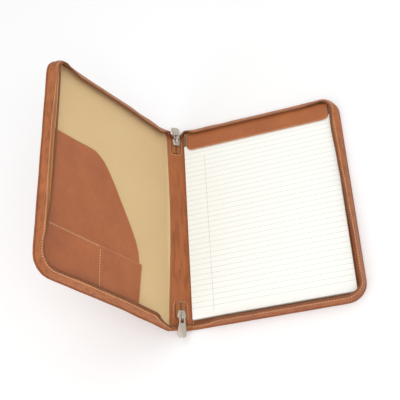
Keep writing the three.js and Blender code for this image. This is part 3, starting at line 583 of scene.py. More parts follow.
def tan_leather(name, colour, grain_share=1.0):
    """Full-grain calf, drum dyed and plated: a pebbled grain with darker dye in its valleys."""
    material, tree = new_material(name)
    if not tree:
        return material
    colours = bpy.context.scene.case_colours
    grain_size = bpy.context.scene.case_sizes.grain * grain_share
    place = add_node(tree, "ShaderNodeTexCoord").outputs["Object"]
    # Hide marks 40 mm wide, uneven dye 6 mm wide, and what makes the grain's cells irregular
    hide, patches, warp = (
        add_node(tree, "ShaderNodeTexNoise", {"Vector": place, **settings}).outputs
        for settings in (
            {"Scale": 25.0, "Detail": 5.0, "Roughness": 0.6},
            {"Scale": 160.0, "Detail": 3.0, "Distortion": 0.6},
            {"Scale": 300.0, "Detail": 2.0},
        )
    )
    warped = add_node(
        tree, "ShaderNodeMix", {"Factor": 0.0012, 4: place, 5: warp["Color"]}, data_type="VECTOR"
    ).outputs[1]
    # Grain of calf is about 0.6 mm wide and is drawn coarser, so that it shows
    cells = add_node(
        tree,
        "ShaderNodeTexVoronoi",
        {"Vector": warped, "Scale": 1 / grain_size, "Randomness": 0.9},
        feature="SMOOTH_F1",
    ).outputs["Distance"]
    # The grain's valleys, the pooled dye, how far an edge is rubbed, and the roughness
    valleys, pooled, rubbing, roughness = (
        add_node(
            tree,
            "ShaderNodeMapRange",
            {"Value": value, "From Min": low, "From Max": high, "To Min": first, "To Max": last},
        ).outputs["Result"]
        for value, low, high, first, last in (
            (cells, 0.25, 0.75, 0.0, 1.0),
            (hide["Fac"], 0.35, 0.75, 0.0, 0.42),
            (patches["Fac"], 0.3, 0.7, 0.3, 0.65),
            (patches["Fac"], 0.3, 0.7, 0.44, 0.6),
        )
    )
    # The second attribute darkens the leather: painted shade in creases, hollows and shaded edges,
    # plus edge paint and random darker patches
    worn, painted_shade_and_dark_tone = (
        add_node(tree, "ShaderNodeAttribute", attribute_name=layer).outputs["Fac"]
        for layer in ("edge", "painted_shade_and_dark_tone")
    )
    grained, shade_and_tone_factor, rubbed = (
        add_node(
            tree, "ShaderNodeMath", {0: value, 1: share}, operation="MULTIPLY"
        ).outputs["Value"]
        for value, share in ((valleys, 0.22), (painted_shade_and_dark_tone, 0.75), (worn, rubbing))
    )
    tone = opaque(colour)
    for factor, layer in (
        (pooled, colours.leather_dye_and_shade),
        (grained, colours.leather_dye_and_shade),
        (shade_and_tone_factor, colours.leather_dye_and_shade),
        (rubbed, colours.leather_worn),
    ):
        tone = add_node(
            tree, "ShaderNodeMix", {"Factor": factor, 6: tone, 7: opaque(layer)}, data_type="RGBA"
        ).outputs[2]
    finish_surface(
        tree,
        {"Base Color": tone, "Roughness": roughness, "IOR": 1.48},
        [(patches["Fac"], 0.35 * MM), (valleys, -0.09 * MM * grain_share)],
    )
    return material


def woven_cloth(name, light, dark, pitch, relief):
    """Plain weave, of cotton in the linings and polyester in the zip's tape: threads over and
    under each other, matt, with a few thicker ones."""
    material, tree = new_material(name)
    if not tree:
        return material
    flat = add_node(tree, "ShaderNodeUVMap", uv_map="flat").outputs["UV"]
    # The texture's waves are pi / (10 x Scale) apart. Threads are drawn farther apart than they
    # are, so that they show
    bands = [
        add_node(
            tree,
            "ShaderNodeTexWave",
            {
                "Vector": flat,
                "Scale": math.pi / (10 * pitch),
                "Distortion": 0.4,
                "Detail": 1.0,
                "Detail Scale": 2.0,
            },
            wave_type="BANDS",
            bands_direction=direction,
        ).outputs["Fac"]
        for direction in ("X", "Y")
    ]
    # Thicker threads about 1 mm long, and clouds 70 mm wide
    slubs, clouds = (
        add_node(
            tree, "ShaderNodeTexNoise", {"Vector": flat, "Scale": scale, "Detail": detail}
        ).outputs["Fac"]
        for scale, detail in ((900.0, 2.0), (14.0, 3.0))
    )
    weave = add_node(
        tree, "ShaderNodeMath", {0: bands[0], 1: bands[1]}, operation="MULTIPLY"
    ).outputs["Value"]
    total = weave
    for part in (slubs, clouds):
        total = add_node(
            tree, "ShaderNodeMath", {0: total, 1: part}, operation="ADD"
        ).outputs["Value"]
    shade = add_node(
        tree,
        "ShaderNodeMapRange",
        {"Value": total, "From Min": 0.5, "From Max": 1.9, "To Min": 0.75, "To Max": 0.0},
    )
    mixed = add_node(
        tree,
        "ShaderNodeMix",
        {"Factor": shade.outputs["Result"], 6: opaque(light), 7: opaque(dark)},
        data_type="RGBA",
    )
    finish_surface(
        tree,
        {
            "Base Color": mixed.outputs[2],
            "Roughness": 0.88,
            "Sheen Weight": 0.15,
            "Sheen Roughness": 0.5,
        },
        [(weave, relief), (slubs, relief / 2)],
    )
    return material


def flecked(name, light, dark, scale, detail, surface, relief=None):
    """A stuff in two tones, mixed in small clouds, and a relief that follows them."""
    material, tree = new_material(name)
    if not tree:
        return material
    place = add_node(tree, "ShaderNodeTexCoord").outputs["Object"]
    clouds = add_node(
        tree, "ShaderNodeTexNoise", {"Vector": place, "Scale": scale, "Detail": detail}
    ).outputs["Fac"]
    mixed = add_node(
        tree,
        "ShaderNodeMix",
        {"Factor": clouds, 6: opaque(light), 7: opaque(dark)},
        data_type="RGBA",
    )
    heights = [(clouds, relief)] if relief else []
    finish_surface(tree, {"Base Color": mixed.outputs[2], **surface}, heights)
    return material


def coil_nylon():
    """Moulded nylon wire: brown, a little streaked, with a soft gloss."""
    light, dark = bpy.context.scene.case_colours.coil, linear("#6C381A")
    return flecked("coil_nylon", light, dark, 400.0, 2.0, {"Roughness": 0.38, "IOR": 1.53})


def cotton_thread():
    """Waxed three-ply cotton thread: pale, with a slow twist."""
    light, dark = bpy.context.scene.case_colours.thread, linear("#E0B987")
    return flecked("cotton_thread", light, dark, 1500.0, 1.0, {"Roughness": 0.7}, 0.08 * MM)


def fibre_stock(name, light, dark, roughness):
    """Uncoated paper or board: matt, with faint fibres and clouds."""
    return flecked(name, light, dark, 700.0, 4.0, {"Roughness": roughness}, 0.03 * MM)


def satin_nickel():
    """Nickel-plated zinc casting, tumbled to a satin: a warm grey metal with fine scratches."""
    material, tree = new_material("satin_nickel")
    if not tree:
        return material
    place = add_node(tree, "ShaderNodeTexCoord").outputs["Object"]
    # Scratches run along the pull, and are drawn wider than they are
    stretched = add_node(
        tree, "ShaderNodeMapping", {"Vector": place, "Scale": (5000.0, 300.0, 5000.0)}
    ).outputs["Vector"]
    clouds, scratches = (
        add_node(
            tree, "ShaderNodeTexNoise", {"Vector": vector, "Scale": scale, "Detail": detail}
        ).outputs["Fac"]
        for vector, scale, detail in ((place, 350.0, 4.0), (stretched, 1.0, 2.0))
    )
    roughness = add_node(
        tree,
        "ShaderNodeMapRange",
        {"Value": clouds, "From Min": 0.3, "From Max": 0.7, "To Min": 0.34, "To Max": 0.5},
    ).outputs["Result"]
    light, dark = bpy.context.scene.case_colours.nickel, linear("#BFB3A6")
    mixed = add_node(
        tree,
        "ShaderNodeMix",
        {"Factor": clouds, 6: opaque(light), 7: opaque(dark)},
        data_type="RGBA",
    )
    finish_surface(
        tree,
        {"Base Color": mixed.outputs[2], "Metallic": 1.0, "Roughness": roughness},
        [(scratches, 0.01 * MM)],
    )
    return material


def ruled_paper():
    """Uncoated writing paper, offset printed with grey rules and a margin line."""
    material, tree = new_material("ruled_paper")
    if not tree:
        return material
    colours = bpy.context.scene.case_colours
    place = add_node(tree, "ShaderNodeTexCoord").outputs["Object"]
    axes = add_node(tree, "ShaderNodeSeparateXYZ", {"Vector": place}).outputs
    first_rule = RIGHT_COVER.translation.y + FIRST_RULE
    last_rule = first_rule - RULING_PITCH * (RULES - 1)
    # Each row names a value and how it comes from an earlier one and a second one or a number
    values = {"across": axes["X"], "up": axes["Y"], "height": axes["Z"]}
    for name, operation, first, second in (
        ("below", "SUBTRACT", "up", first_rule + RULING_PITCH / 2),
        ("rule", "DIVIDE", "below", -RULING_PITCH),
        ("part", "FRACT", "rule", 0.0),
        ("from middle", "SUBTRACT", "part", 0.5),
        ("from rule", "ABSOLUTE", "from middle", 0.0),
        ("on rule", "LESS_THAN", "from rule", RULE_HALF / RULING_PITCH),
        ("past first", "GREATER_THAN", "rule", -1.0),
        ("before last", "LESS_THAN", "rule", RULES - 1.0),
        ("in range", "MULTIPLY", "past first", "before last"),
        ("rules", "MULTIPLY", "on rule", "in range"),
        ("past margin", "SUBTRACT", "across", PAPER_BOX[0][0] + MARGIN_LINE),
        ("from margin", "ABSOLUTE", "past margin", 0.0),
        ("on margin", "LESS_THAN", "from margin", MARGIN_HALF),
        ("below head", "LESS_THAN", "up", first_rule + RULING_PITCH * 0.1),
        ("above foot", "GREATER_THAN", "up", last_rule),
        ("margin head", "MULTIPLY", "on margin", "below head"),
        ("margin", "MULTIPLY", "margin head", "above foot"),
        ("lines", "MAXIMUM", "rules", "margin"),
        ("on top", "GREATER_THAN", "height", PAPER_TOP - 0.3 * MM),
        ("printed", "MULTIPLY", "lines", "on top"),
    ):
        inputs = {0: values[first], 1: values.get(second, second)}
        node = add_node(tree, "ShaderNodeMath", inputs, operation=operation)
        values[name] = node.outputs["Value"]
    fibres = add_node(
        tree, "ShaderNodeTexNoise", {"Vector": place, "Scale": 900.0, "Detail": 4.0}
    ).outputs["Fac"]
    # Edges of the sheets, drawn 0.22 mm apart so that they show
    sheet_edges = add_node(
        tree,
        "ShaderNodeTexWave",
        {"Vector": place, "Scale": math.pi / (10 * 0.22 * MM), "Distortion": 0.5},
        wave_type="BANDS",
        bands_direction="Z",
    ).outputs["Fac"]
    tone = opaque(colours.paper)
    for factor, layer in ((fibres, linear("#F4F6EF")), (values["printed"], colours.rule)):
        tone = add_node(
            tree, "ShaderNodeMix", {"Factor": factor, 6: tone, 7: opaque(layer)}, data_type="RGBA"
        ).outputs[2]
    finish_surface(
        tree,
        {"Base Color": tone, "Roughness": 0.82},
        [(fibres, 0.015 * MM), (sheet_edges, 0.02 * MM)],
    )
    return material


def studio_paper():
    """Seamless white backdrop paper under the case."""
    material, tree = new_material("studio_paper")
    if tree:
        finish_surface(tree, {"Base Color": (0.95, 0.95, 0.95, 1.0), "Roughness": 0.9}, [])
    return material


def cover_leather():
    """The hide of the covers, the spine, the gussets and the strap."""
    return tan_leather("full_grain_calf", bpy.context.scene.case_colours.leather)


def cover_outline(margin, start):
    """Right cover's edge on the flat case, from the spine's foot to its head."""
    outer = SPINE_WIDTH / 2 + COVER_WIDTH - margin
    radius = CORNER_RADIUS - margin
    return (
        [(start, margin)]
        + arc(outer - radius, margin + radius, radius, -90, 0)
        + arc(outer - radius, CASE_HEIGHT - margin - radius, radius, 0, 90)
        + [(start, CASE_HEIGHT - margin)]
    )


def mirrored(points):
    """Flat points on the other side of the spine, with the outline's turn kept."""
    return [(-x, y) for x, y in reversed(points)]


def fold_columns():
    """Columns across one fold."""
    cells = 8
    start = SPINE_WIDTH / 2 - SHELL_FOLD
    return [start + 2 * SHELL_FOLD * i / cells for i in range(cells + 1)]


def head_dip(x):
    """How far the hide's edge dips at the spine's head."""
    past = (abs(x) - HEAD_DIP_FLAT) / (HEAD_DIP_REACH - HEAD_DIP_FLAT)
    return HEAD_DIP * (1 - smooth(past))


def leather_relief(x, y):
    """How far the cover leather waves, most of all near its folds and the zip's ends."""
    from_fold = abs(abs(x) - SPINE_WIDTH / 2)
    near_fold = 1 - smooth(from_fold / (26 * MM))
    slow = ripple(x, y, size=55 * MM, seed=3.1)
    creases = ripple(x, y * 0.35, size=6 * MM, seed=8.2)
    return HIDE_WAVE * slow + HIDE_CREASE * near_fold * creases


class CASE_OT_cover_leather(bpy.types.Operator):
    """Make the hide that covers both boards and the spine"""

    bl_idname = "document_case.cover_leather"
    bl_label = "Cover leather"

    def execute(self, context):
        dip = [(x * MM, CASE_HEIGHT - head_dip(x * MM)) for x in range(13, -14, -1)]
        right = cover_outline(0, 14 * MM)
        outline = right + dip + mirrored(right)
        outline = [point for i, point in enumerate(outline) if point != outline[i - 1]]
        outer = SPINE_WIDTH / 2 + COVER_WIDTH
        side = fold_columns() + steps(SPINE_WIDTH / 2 + SHELL_FOLD, outer, CELL)
        columns = side + [-x for x in side] + [-HEAD_DIP_FLAT, 0, HEAD_DIP_FLAT]
        bm = cut_sheet(outline, columns, steps(0, CASE_HEIGHT, CELL), BANDS)

        def place(x, y, inner, from_edge):
            height = wall_height(0, SHELL_WALL, inner, from_edge, radius=SHELL_WALL * 0.45)
            relief = leather_relief(x, y)
            height += min(relief, 0) if inner else max(relief, 0)
            return folded(x, y, height)

        # The edge is painted dark, and the hide is darkened where it sinks, as painted shade in its
        # hollows
        def shade(x, y, from_edge):
            painted = 1 - smooth(from_edge / (1.1 * MM))
            return max(painted, 0.5 * smooth(-leather_relief(x, y) / (0.25 * MM)))

        lay_sheet(bm, outline, place, wear=0.0, shade=shade)
        add_piece("cover_hide", bm, cover_leather(), ["leather_shell"])
        return {"FINISHED"}


def lining_start(side, up):
    """Where a lining meets the spine's strip, from the spine's middle."""
    start = SPINE_WIDTH / 2 + LINING_EDGE
    if side < 0:
        bulge = math.sin(math.pi * min(max(up / CASE_HEIGHT, 0), 1)) ** 1.5
        into = max(up - CASE_HEIGHT + LINING_HEAD_ROUND, 0)
        corner = LINING_HEAD_ROUND - math.sqrt(LINING_HEAD_ROUND ** 2 - into ** 2)
        start += corner - LINING_BOW * bulge
    return start


class CASE_OT_linings(bpy.types.Operator):
    """Make the cloth linings of both covers"""

    bl_idname = "document_case.linings"
    bl_label = "Linings"

    def execute(self, context):
        colours, weave = context.scene.case_colours, context.scene.case_sizes.weave
        cloth = woven_cloth(
            "cotton_lining", colours.lining, colours.lining_dark, weave, relief=0.05 * MM
        )
        outer = SPINE_WIDTH / 2 + COVER_WIDTH - LINING_MARGIN
        for side, name in ((-1, "left"), (1, "right")):
            ups = [LINING_MARGIN] + steps(LINING_MARGIN, CASE_HEIGHT - LINING_MARGIN, 3 * MM)
            ups.append(CASE_HEIGHT - LINING_MARGIN)
            edge = cover_outline(LINING_MARGIN, lining_start(side, LINING_MARGIN))
            outline = edge[:-1] + [(lining_start(side, up), up) for up in reversed(ups[1:])]
            if side < 0:
                outline = mirrored(outline)
            columns = fold_columns() + steps(SPINE_WIDTH / 2 + SHELL_FOLD, outer, CELL)
            columns = [side * x for x in columns]
            bm = cut_sheet(outline, columns, steps(0, CASE_HEIGHT, CELL), BANDS)

            def place(x, y, inner, from_edge):
                radius = LINING_WALL * 0.45
                height = wall_height(LINING_BASE, LINING_WALL, inner, from_edge, radius)
                hollow = min(ripple(x, y, size=42 * MM, seed=5.5), 0)
                return folded(x, y, height + LINING_WAVE * hollow)

            lay_sheet(bm, outline, place)
            add_piece(f"lining_cloth_{name}", bm, cloth, [f"lining_{name}"])
        return {"FINISHED"}


def notch_line(end):
    """U-shaped cut at one end of the spine's strip, from its right mouth to its left one."""
    half, depth, radius = NOTCH_HALF, NOTCH_DEPTH, NOTCH_RADIUS
    line = [
        (NOTCH_MOUTH_HALF, SPINE_LINING_END),
        (NOTCH_HALF, NOTCH_MOUTH_DEPTH),
        *arc(half - radius, depth - radius, radius, 0, 90, count=6),
        *arc(-half + radius, depth - radius, radius, 90, 180, count=6),
        (-NOTCH_HALF, NOTCH_MOUTH_DEPTH),
        (-NOTCH_MOUTH_HALF, SPINE_LINING_END),
    ]
    if end == "top":
        line = [(-x, CASE_HEIGHT - y) for x, y in line]
    return line


def spine_relief(x, y):
    """Long wrinkles down the limp strip, most of them in its lower half."""
    low = 1 - smooth((y - 0.3 * CASE_HEIGHT) / (0.5 * CASE_HEIGHT))
    long_ones = ripple(x, y * 0.16, size=4.2 * MM, seed=1.7)
    short_ones = ripple(x, y * 0.5, size=3.4 * MM, seed=6.3)
    everywhere, lower_half = STRIP_WRINKLE
    return (everywhere + lower_half * low) * long_ones + STRIP_CREASE * short_ones


class CASE_OT_spine_strip(bpy.types.Operator):
    """Make the leather strip down the inside of the spine"""

    bl_idname = "document_case.spine_strip"
    bl_label = "Spine strip"

    def execute(self, context):
        foot, head = SPINE_LINING_END, CASE_HEIGHT - SPINE_LINING_END
        ups = steps(foot, head, 3 * MM)
        right = [(lining_start(1, y) - FIT_GAP, y) for y in [foot] + ups + [head]]
        left = [(-lining_start(-1, y) + FIT_GAP, y) for y in [head] + ups[::-1] + [foot]]
        outline = right + notch_line("top")[::-1] + left + notch_line("bottom")[::-1]
        columns = steps(-SPINE_WIDTH / 2 - 8 * MM, SPINE_WIDTH / 2, 1.4 * MM)
        bm = cut_sheet(outline, columns, steps(foot, head, 3.2 * MM), BANDS)

        def place(x, y, inner, from_edge):
            wall = SPINE_LINING_WALL
            height = wall_height(LINING_BASE, wall, inner, from_edge, radius=0.5 * MM)
            if inner:
                inside = smooth(from_edge / (2.4 * MM))
                height += spine_relief(x, y) * inside
            return folded(x, y, height)

        # Painted shade: darker in the valleys of the wrinkles and along the turned edges, more in
        # the lower half
        def shade(x, y, from_edge):
            valley_shade = smooth(-spine_relief(x, y) / (0.4 * MM))
            turned = 1 - smooth((from_edge - 1.2 * MM) / (2.2 * MM))
            turned *= smooth(from_edge / (0.9 * MM))
            return max(0.6 * valley_shade, (0.6 if y < CASE_HEIGHT / 2 else 0.3) * turned)

        lay_sheet(bm, outline, place, wear=0.8, shade=shade)
        add_piece("spine_strip", bm, cover_leather(), ["spine_lining"])
        return {"FINISHED"}


# Lengths along the zip tape: to the corner, round it, up the side and in all
STRAIGHT = SPINE_WIDTH / 2 + COVER_WIDTH - CORNER_RADIUS
FOOT_RUN = STRAIGHT - TAPE_START
CORNER_RUN = CORNER_RADIUS * math.pi / 2
SIDE_RUN = CASE_HEIGHT - 2 * CORNER_RADIUS
RIM_LENGTH = 2 * FOOT_RUN + 2 * CORNER_RUN + SIDE_RUN


def station(length):
    """A place on the cover's edge, that far along it from the foot, and the way to the inside."""
    past_middle = length > RIM_LENGTH / 2
    run = RIM_LENGTH - length if past_middle else length
    if run < FOOT_RUN:
        across, up, in_x, in_y = TAPE_START + run, 0.0, 0.0, 1.0
    elif run < FOOT_RUN + CORNER_RUN:
        turn = (run - FOOT_RUN) / CORNER_RADIUS
        across = STRAIGHT + CORNER_RADIUS * math.sin(turn)
        up = CORNER_RADIUS * (1 - math.cos(turn))
        in_x, in_y = -math.sin(turn), math.cos(turn)
    else:
        across = STRAIGHT + CORNER_RADIUS
        up = CORNER_RADIUS + run - FOOT_RUN - CORNER_RUN
        in_x, in_y = -1.0, 0.0
    if past_middle:
        up, in_y = CASE_HEIGHT - up, -in_y
    return across, up, in_x, in_y


class RimSection:
    """The rim's curve from the gusset's foot to the coil, at one place along the cover's edge."""

    def __init__(self, side, length):
        across, up, in_x, in_y = station(length)
        lean = math.radians(read_table(RIM_LEAN[side], length / RIM_LENGTH))
        inset = RIM_WIDTH * math.sin(lean)
        self.side = side
        self.across = across
        self.foot = Vector((across + in_x * GUSSET_INSET, up + in_y * GUSSET_INSET, LINING_BASE))
        self.coil = self.foot + Vector((in_x * inset, in_y * inset, RIM_WIDTH * math.cos(lean)))
        throat = THROATS["foot" if length < RIM_LENGTH / 2 else "head"]
        share = (across - TAPE_START) / (throat["end"] - TAPE_START)
        if share < 1:
            at, into, height = (read_table(throat["rows"], share, column) for column in (1, 2, 3))
            low = Vector((
                throat["end"] * at,
                self.foot.y + in_y * (SLIDER_NOSE * into - GUSSET_INSET),
                LINING_BASE + RIM_WIDTH * height,
            ))
            if side > 0 and throat is THROATS["foot"]:
                low.y += FOOT_RISE * smooth(share / 0.12) * (1 - smooth((share - 0.3) / 0.4))
            blend = smooth((share - throat["blend"]) / (1 - throat["blend"]))
            self.coil = low.lerp(self.coil, blend)
        self.shoulder = self.foot.copy()
        self.shoulder.z += RIM_SHOULDER * (self.coil.z - self.foot.z)
        self.inward = Vector((self.coil.x - self.foot.x, self.coil.y - self.foot.y, 0)).normalized()
        self.chord = (self.coil - self.foot).length
        self.room = min(self.chord / (11 * MM), 1)
        self.gusset_edge = read_table(GUSSET_EDGE[side], length / RIM_LENGTH)

    def flat_point(self, share, depth):
        """A point of the curve, moved that deep to the inside."""
        rest = 1 - share
        point = self.foot * rest ** 2 + self.shoulder * 2 * rest * share + self.coil * share ** 2
        way = (self.shoulder - self.foot) * rest + (self.coil - self.shoulder) * share
        way.normalize()
        normal = self.inward * way.z
        normal.z -= way.dot(self.inward)
        return point + normal.normalized() * depth * self.room

    def point(self, share, depth):
        """The same point in its folded place."""
        flat = self.flat_point(share, depth)
        return folded(self.side * flat.x, flat.y, flat.z, RIM_FOLD)


def rim_sheet(side, start, end, count, shares, depths, to_edge=False):
    """A closed strip along the rim, from one length to another, with that many cells. shares are
    its rows across the rim, of the rim's width or, with to_edge, of the gusset's. depths gives
    its outer and inner depth, its wear and how much darker its colour is painted."""
    bm = bmesh.new()
    bmesh.ops.create_grid(bm, x_segments=count, y_segments=len(shares) - 1, size=0.5)
    bmesh.ops.solidify(bm, geom=bm.faces[:], thickness=1)
    bmesh.ops.recalc_face_normals(bm, faces=bm.faces[:])
    flat, edge, painted_shade_and_dark_tone = material_layers(bm)
    middle = sum(vert.co.z for vert in bm.verts) / len(bm.verts)
    sections = {}
    for face in bm.faces:
        for loop in face.loops:
            x, y = loop.vert.co.xy + Vector((0.5, 0.5))
            loop[flat].uv = (start + (end - start) * x, y * RIM_WIDTH / 2)
    for vert in bm.verts:
        run = round(vert.co.x + 0.5, 6)
        if run not in sections:
            sections[run] = RimSection(side, start + (end - start) * run)
        section = sections[run]
        row = (vert.co.y + 0.5) * (len(shares) - 1)
        low = min(int(row + 1e-6), len(shares) - 2)
        share = shares[low] + (shares[low + 1] - shares[low]) * (row - low)
        if to_edge:
            share *= section.gusset_edge
        length = start + (end - start) * run
        outer, inner, vert[edge], vert[painted_shade_and_dark_tone] = depths(section, share, length)
        vert.co = section.point(share, inner if vert.co.z > middle else outer)
    bmesh.ops.recalc_face_normals(bm, faces=bm.faces[:])
    return bm


def gusset_depths(section, share, length):
    """Gusset: waved away from its foot, rounded and rubbed at its edge, with small wrinkles all
    along, and darkened in random patches.
    """
    from_edge = (section.gusset_edge - share) * RIM_WIDTH
    round_off = rounding(from_edge, radius=0.6 * MM)
    wave = GUSSET_WAVE * ripple(length, share * 30 * MM, size=16 * MM, seed=2.4)
    wave += GUSSET_CREASE * ripple(length, share * 20 * MM, size=5 * MM, seed=9.4)
    wave *= smooth(share / 0.25)
    worn = 0.45 * (1 - smooth(from_edge / EDGE_WEAR))
    # Darker in random patches along the gusset, which do not follow its waves
    painted_shade_and_dark_tone = 0.8 * smooth(0.15 + 1.6 * ripple(length, share * 90 * MM, size=7 * MM, seed=4.6))
    return wave + round_off, GUSSET_WALL + wave - round_off, worn, painted_shade_and_dark_tone


def tape_depths(section, share, length):
    """Zip tape: on the gusset's inside, and level with it beyond its edge."""
    behind = GUSSET_WALL + FIT_GAP
    under = smooth((section.across - TAPE_UNDER_START) / (GUSSET_START - TAPE_UNDER_START))
    risen = smooth((share - section.gusset_edge) / TAPE_RISE)
    wave = TAPE_WAVE * ripple(length, share * 30 * MM, size=16 * MM, seed=2.4)
    depth = behind * under * (1 - risen) + wave
    return depth, depth + TAPE_WALL, 0.0, 0.0


class CASE_OT_gussets(bpy.types.Operator):
    """Make the leather gussets that stand round both covers, and the turn-in beside the pad"""

    bl_idname = "document_case.gussets"
    bl_label = "Gussets"

    def execute(self, context):
        start = GUSSET_START - TAPE_START
        stop = RIM_LENGTH - start
        for side, name in ((-1, "left"), (1, "right")):
            bm = rim_sheet(
                side, start, stop, RIM_CELLS, GUSSET_ROWS, gusset_depths, to_edge=True
            )
            nodes = [f"gusset_{name}"]
            add_piece(f"gusset_leather_{name}", bm, cover_leather(), nodes)

        # The turn-in runs along the foot of the right cover, round its corner and up its side
        near, far = SPINE_WIDTH / 2 + TURN_IN_FROM_FOLD, SPINE_WIDTH / 2 + COVER_WIDTH
        outside = GUSSET_INSET + GUSSET_WALL + TURN_IN_GAP
        inside = PAD_FROM_EDGE - TURN_IN_GAP
        outline = cover_outline(outside, near)[:ARC_CELLS + 2]
        outline += [(far - outside, TURN_IN_TOP), (far - inside, TURN_IN_TOP)]
        outline += [(far - inside, inside), (near, inside)]
        columns = [x for x in fold_columns() + steps(near, far, CELL) if near < x < far]
        bm = cut_sheet(outline, columns, steps(outside, TURN_IN_TOP, CELL), bands=(0.4 * MM,))

        def place(x, y, inner, from_edge):
            base = LINING_TOP + 0.05 * MM
            height = wall_height(base, TURN_IN_WALL, inner, from_edge, radius=0.3 * MM)
            return folded(x, y, height)

        # Painted shade: darkest at the foot, under the rim, and lighter up the side
        def shade(x, y, from_edge):
            return 1 - 0.75 * smooth((y - 14 * MM) / (20 * MM))

        lay_sheet(bm, outline, place, wear=0.0, shade=shade)
        add_piece("gusset_turn_in", bm, cover_leather())
        return {"FINISHED"}


def coil_line(side):
    """Middle of the zip coil and the way out of the rim there, along one cover."""
    line = []
    for i in range(COIL_SECTIONS + 1):
        section = RimSection(side, RIM_LENGTH * i / COIL_SECTIONS)
        middle = section.point(1, TAPE_WALL / 2)
        line.append((middle, (section.point(1, -1 * MM) - middle).normalized()))
    return line


def walk(line, pitch):
    """Places that far apart along a line of (point, way up): point, way up and way ahead."""
    places = []
    left = 0.0
    for (a, up_a), (b, up_b) in zip(line, line[1:]):
        length = (b - a).length
        if length < 1e-7:
            continue
        at = left
        while at < length:
            share = at / length
            up = up_a.lerp(up_b, share).normalized()
            places.append((a.lerp(b, share), up, (b - a).normalized()))
            at += pitch
        left = at - length
    return places


def coil_mesh(name, line, half_width, half_height, turn_points=7):
    """A wire wound in flattened turns round the cord that fills it, as a mesh."""
    sizes = bpy.context.scene.case_sizes
    wire = sizes.coil_wire
    curve = bpy.data.curves.new(name, "CURVE")
    curve.dimensions = "3D"
    curve.bevel_depth = wire
    curve.bevel_resolution = 1
    curve.use_fill_caps = True
    places = walk(line, sizes.coil_pitch / turn_points)
    spline = curve.splines.new("POLY")
    spline.points.add(len(places) - 1)
    for i, (point, up, ahead) in enumerate(places):
        turn = 2 * math.pi * i / turn_points
        across = up.cross(ahead).normalized()
        place = point + across * (half_width - wire) * math.cos(turn)
        place += up * (half_height - wire) * math.sin(turn)
        spline.points[i].co = (*place, 1)
    cord = curve.splines.new("POLY")
    middles = [point for point, up, ahead in places[::turn_points]]
    cord.points.add(len(middles) - 1)
    for i, point in enumerate(middles):
        cord.points[i].co = (*point, 1)
        cord.points[i].radius = (half_height - wire) / wire
    holder = bpy.data.objects.new(name, curve)
    bm = bmesh.new()
    bm.from_mesh(holder.to_mesh())
    holder.to_mesh_clear()
    bpy.data.objects.remove(holder)
    bpy.data.curves.remove(curve)
    return bm


def tail_place(name, x, y, z):
    """A point of the zip's closed end: x from its middle, y from the spine's end, z its height."""
    return ZIP_ENDS[name] @ Vector((x, y, z))


class CASE_OT_zip(bpy.types.Operator):
    """Make the zip's tapes, coils and closed ends"""

    bl_idname = "document_case.zip"
    bl_label = "Zip"

    def execute(self, context):
        colours = context.scene.case_colours
        weave = {"pitch": 1.1 * MM, "relief": 0.09 * MM}
        tape = woven_cloth("tape_weave", colours.tape, linear("#8E6034"), **weave)
        tail = woven_cloth("tail_weave", linear("#B07040"), linear("#86502A"), **weave)
        end = 1 - (COIL_RADIUS + FIT_GAP / 2) / RIM_WIDTH
        shares = [TAPE_SHARE + (end - TAPE_SHARE) * i / 8 for i in range(9)]
        for side, name in ((-1, "left"), (1, "right")):
            bm = rim_sheet(side, 0.0, RIM_LENGTH, RIM_CELLS, shares, tape_depths)
            add_piece(f"tape_weave_{name}", bm, tape, [f"zip_tape_{name}"])
            bm = coil_mesh(f"coil_wire_{name}", coil_line(side), *COIL_SHOWN)
            add_piece(f"coil_wire_{name}", bm, coil_nylon(), [f"zip_coil_{name}"])
        start, stop = SLIDER_NOSE + TAIL_START, NOTCH_DEPTH - FIT_GAP
        half = TAIL_WIDTH / 2
        outline = [(-half, start), (half, start), (half, stop), (-half, stop)]
        for name in ("bottom", "top"):
            columns = steps(-half, half, 0.8 * MM)
            bm = cut_sheet(outline, columns, steps(start, stop, 1.5 * MM), bands=(0.4 * MM,))

            def place(x, y, inner, from_edge):
                seam = 1 - smooth(abs(x) / TAIL_SEAM_HALF)
                height = wall_height(TAIL_BASE, TAPE_WALL, inner, from_edge, radius=0.3 * MM)
                return tail_place(name, x, y, height + TAIL_SEAM_RISE * seam)

            lay_sheet(bm, outline, place)
            add_piece(f"tail_tape_{name}", bm, tail, [f"zip_tail_{name}"])
            top = TAIL_BASE + TAPE_WALL + 0.55 * MM
            up = (ZIP_ENDS[name].to_3x3() @ INSIDE).normalized()
            line = [(tail_place(name, 0, start, top), up), (tail_place(name, 0, stop, top), up)]
            bm = coil_mesh(f"tail_coil_{name}", line, *TAIL_COIL)
            add_piece(f"tail_coil_{name}", bm, coil_nylon())
        return {"FINISHED"}


def pocket_outline(mouth, side_foot):
    """A pocket in its cover's plane, x towards the fold, and its mouth's line."""
    outer = -(COVER_WIDTH - POCKET_MARGIN)
    radius = CORNER_RADIUS - POCKET_MARGIN
    top = mouth[0][1]
    corner = arc(outer + radius, POCKET_MARGIN + radius, radius, 180, 270)
    foot = (-side_foot * COVER_WIDTH, POCKET_MARGIN)
    opening = [foot] + mouth[::-1] + [(outer, top)]
    return corner + opening, opening


def large_mouth():
    """The large pocket's curved mouth in its cover's plane."""
    return through([(-across * COVER_WIDTH, up * CASE_HEIGHT) for across, up in LARGE_MOUTH])


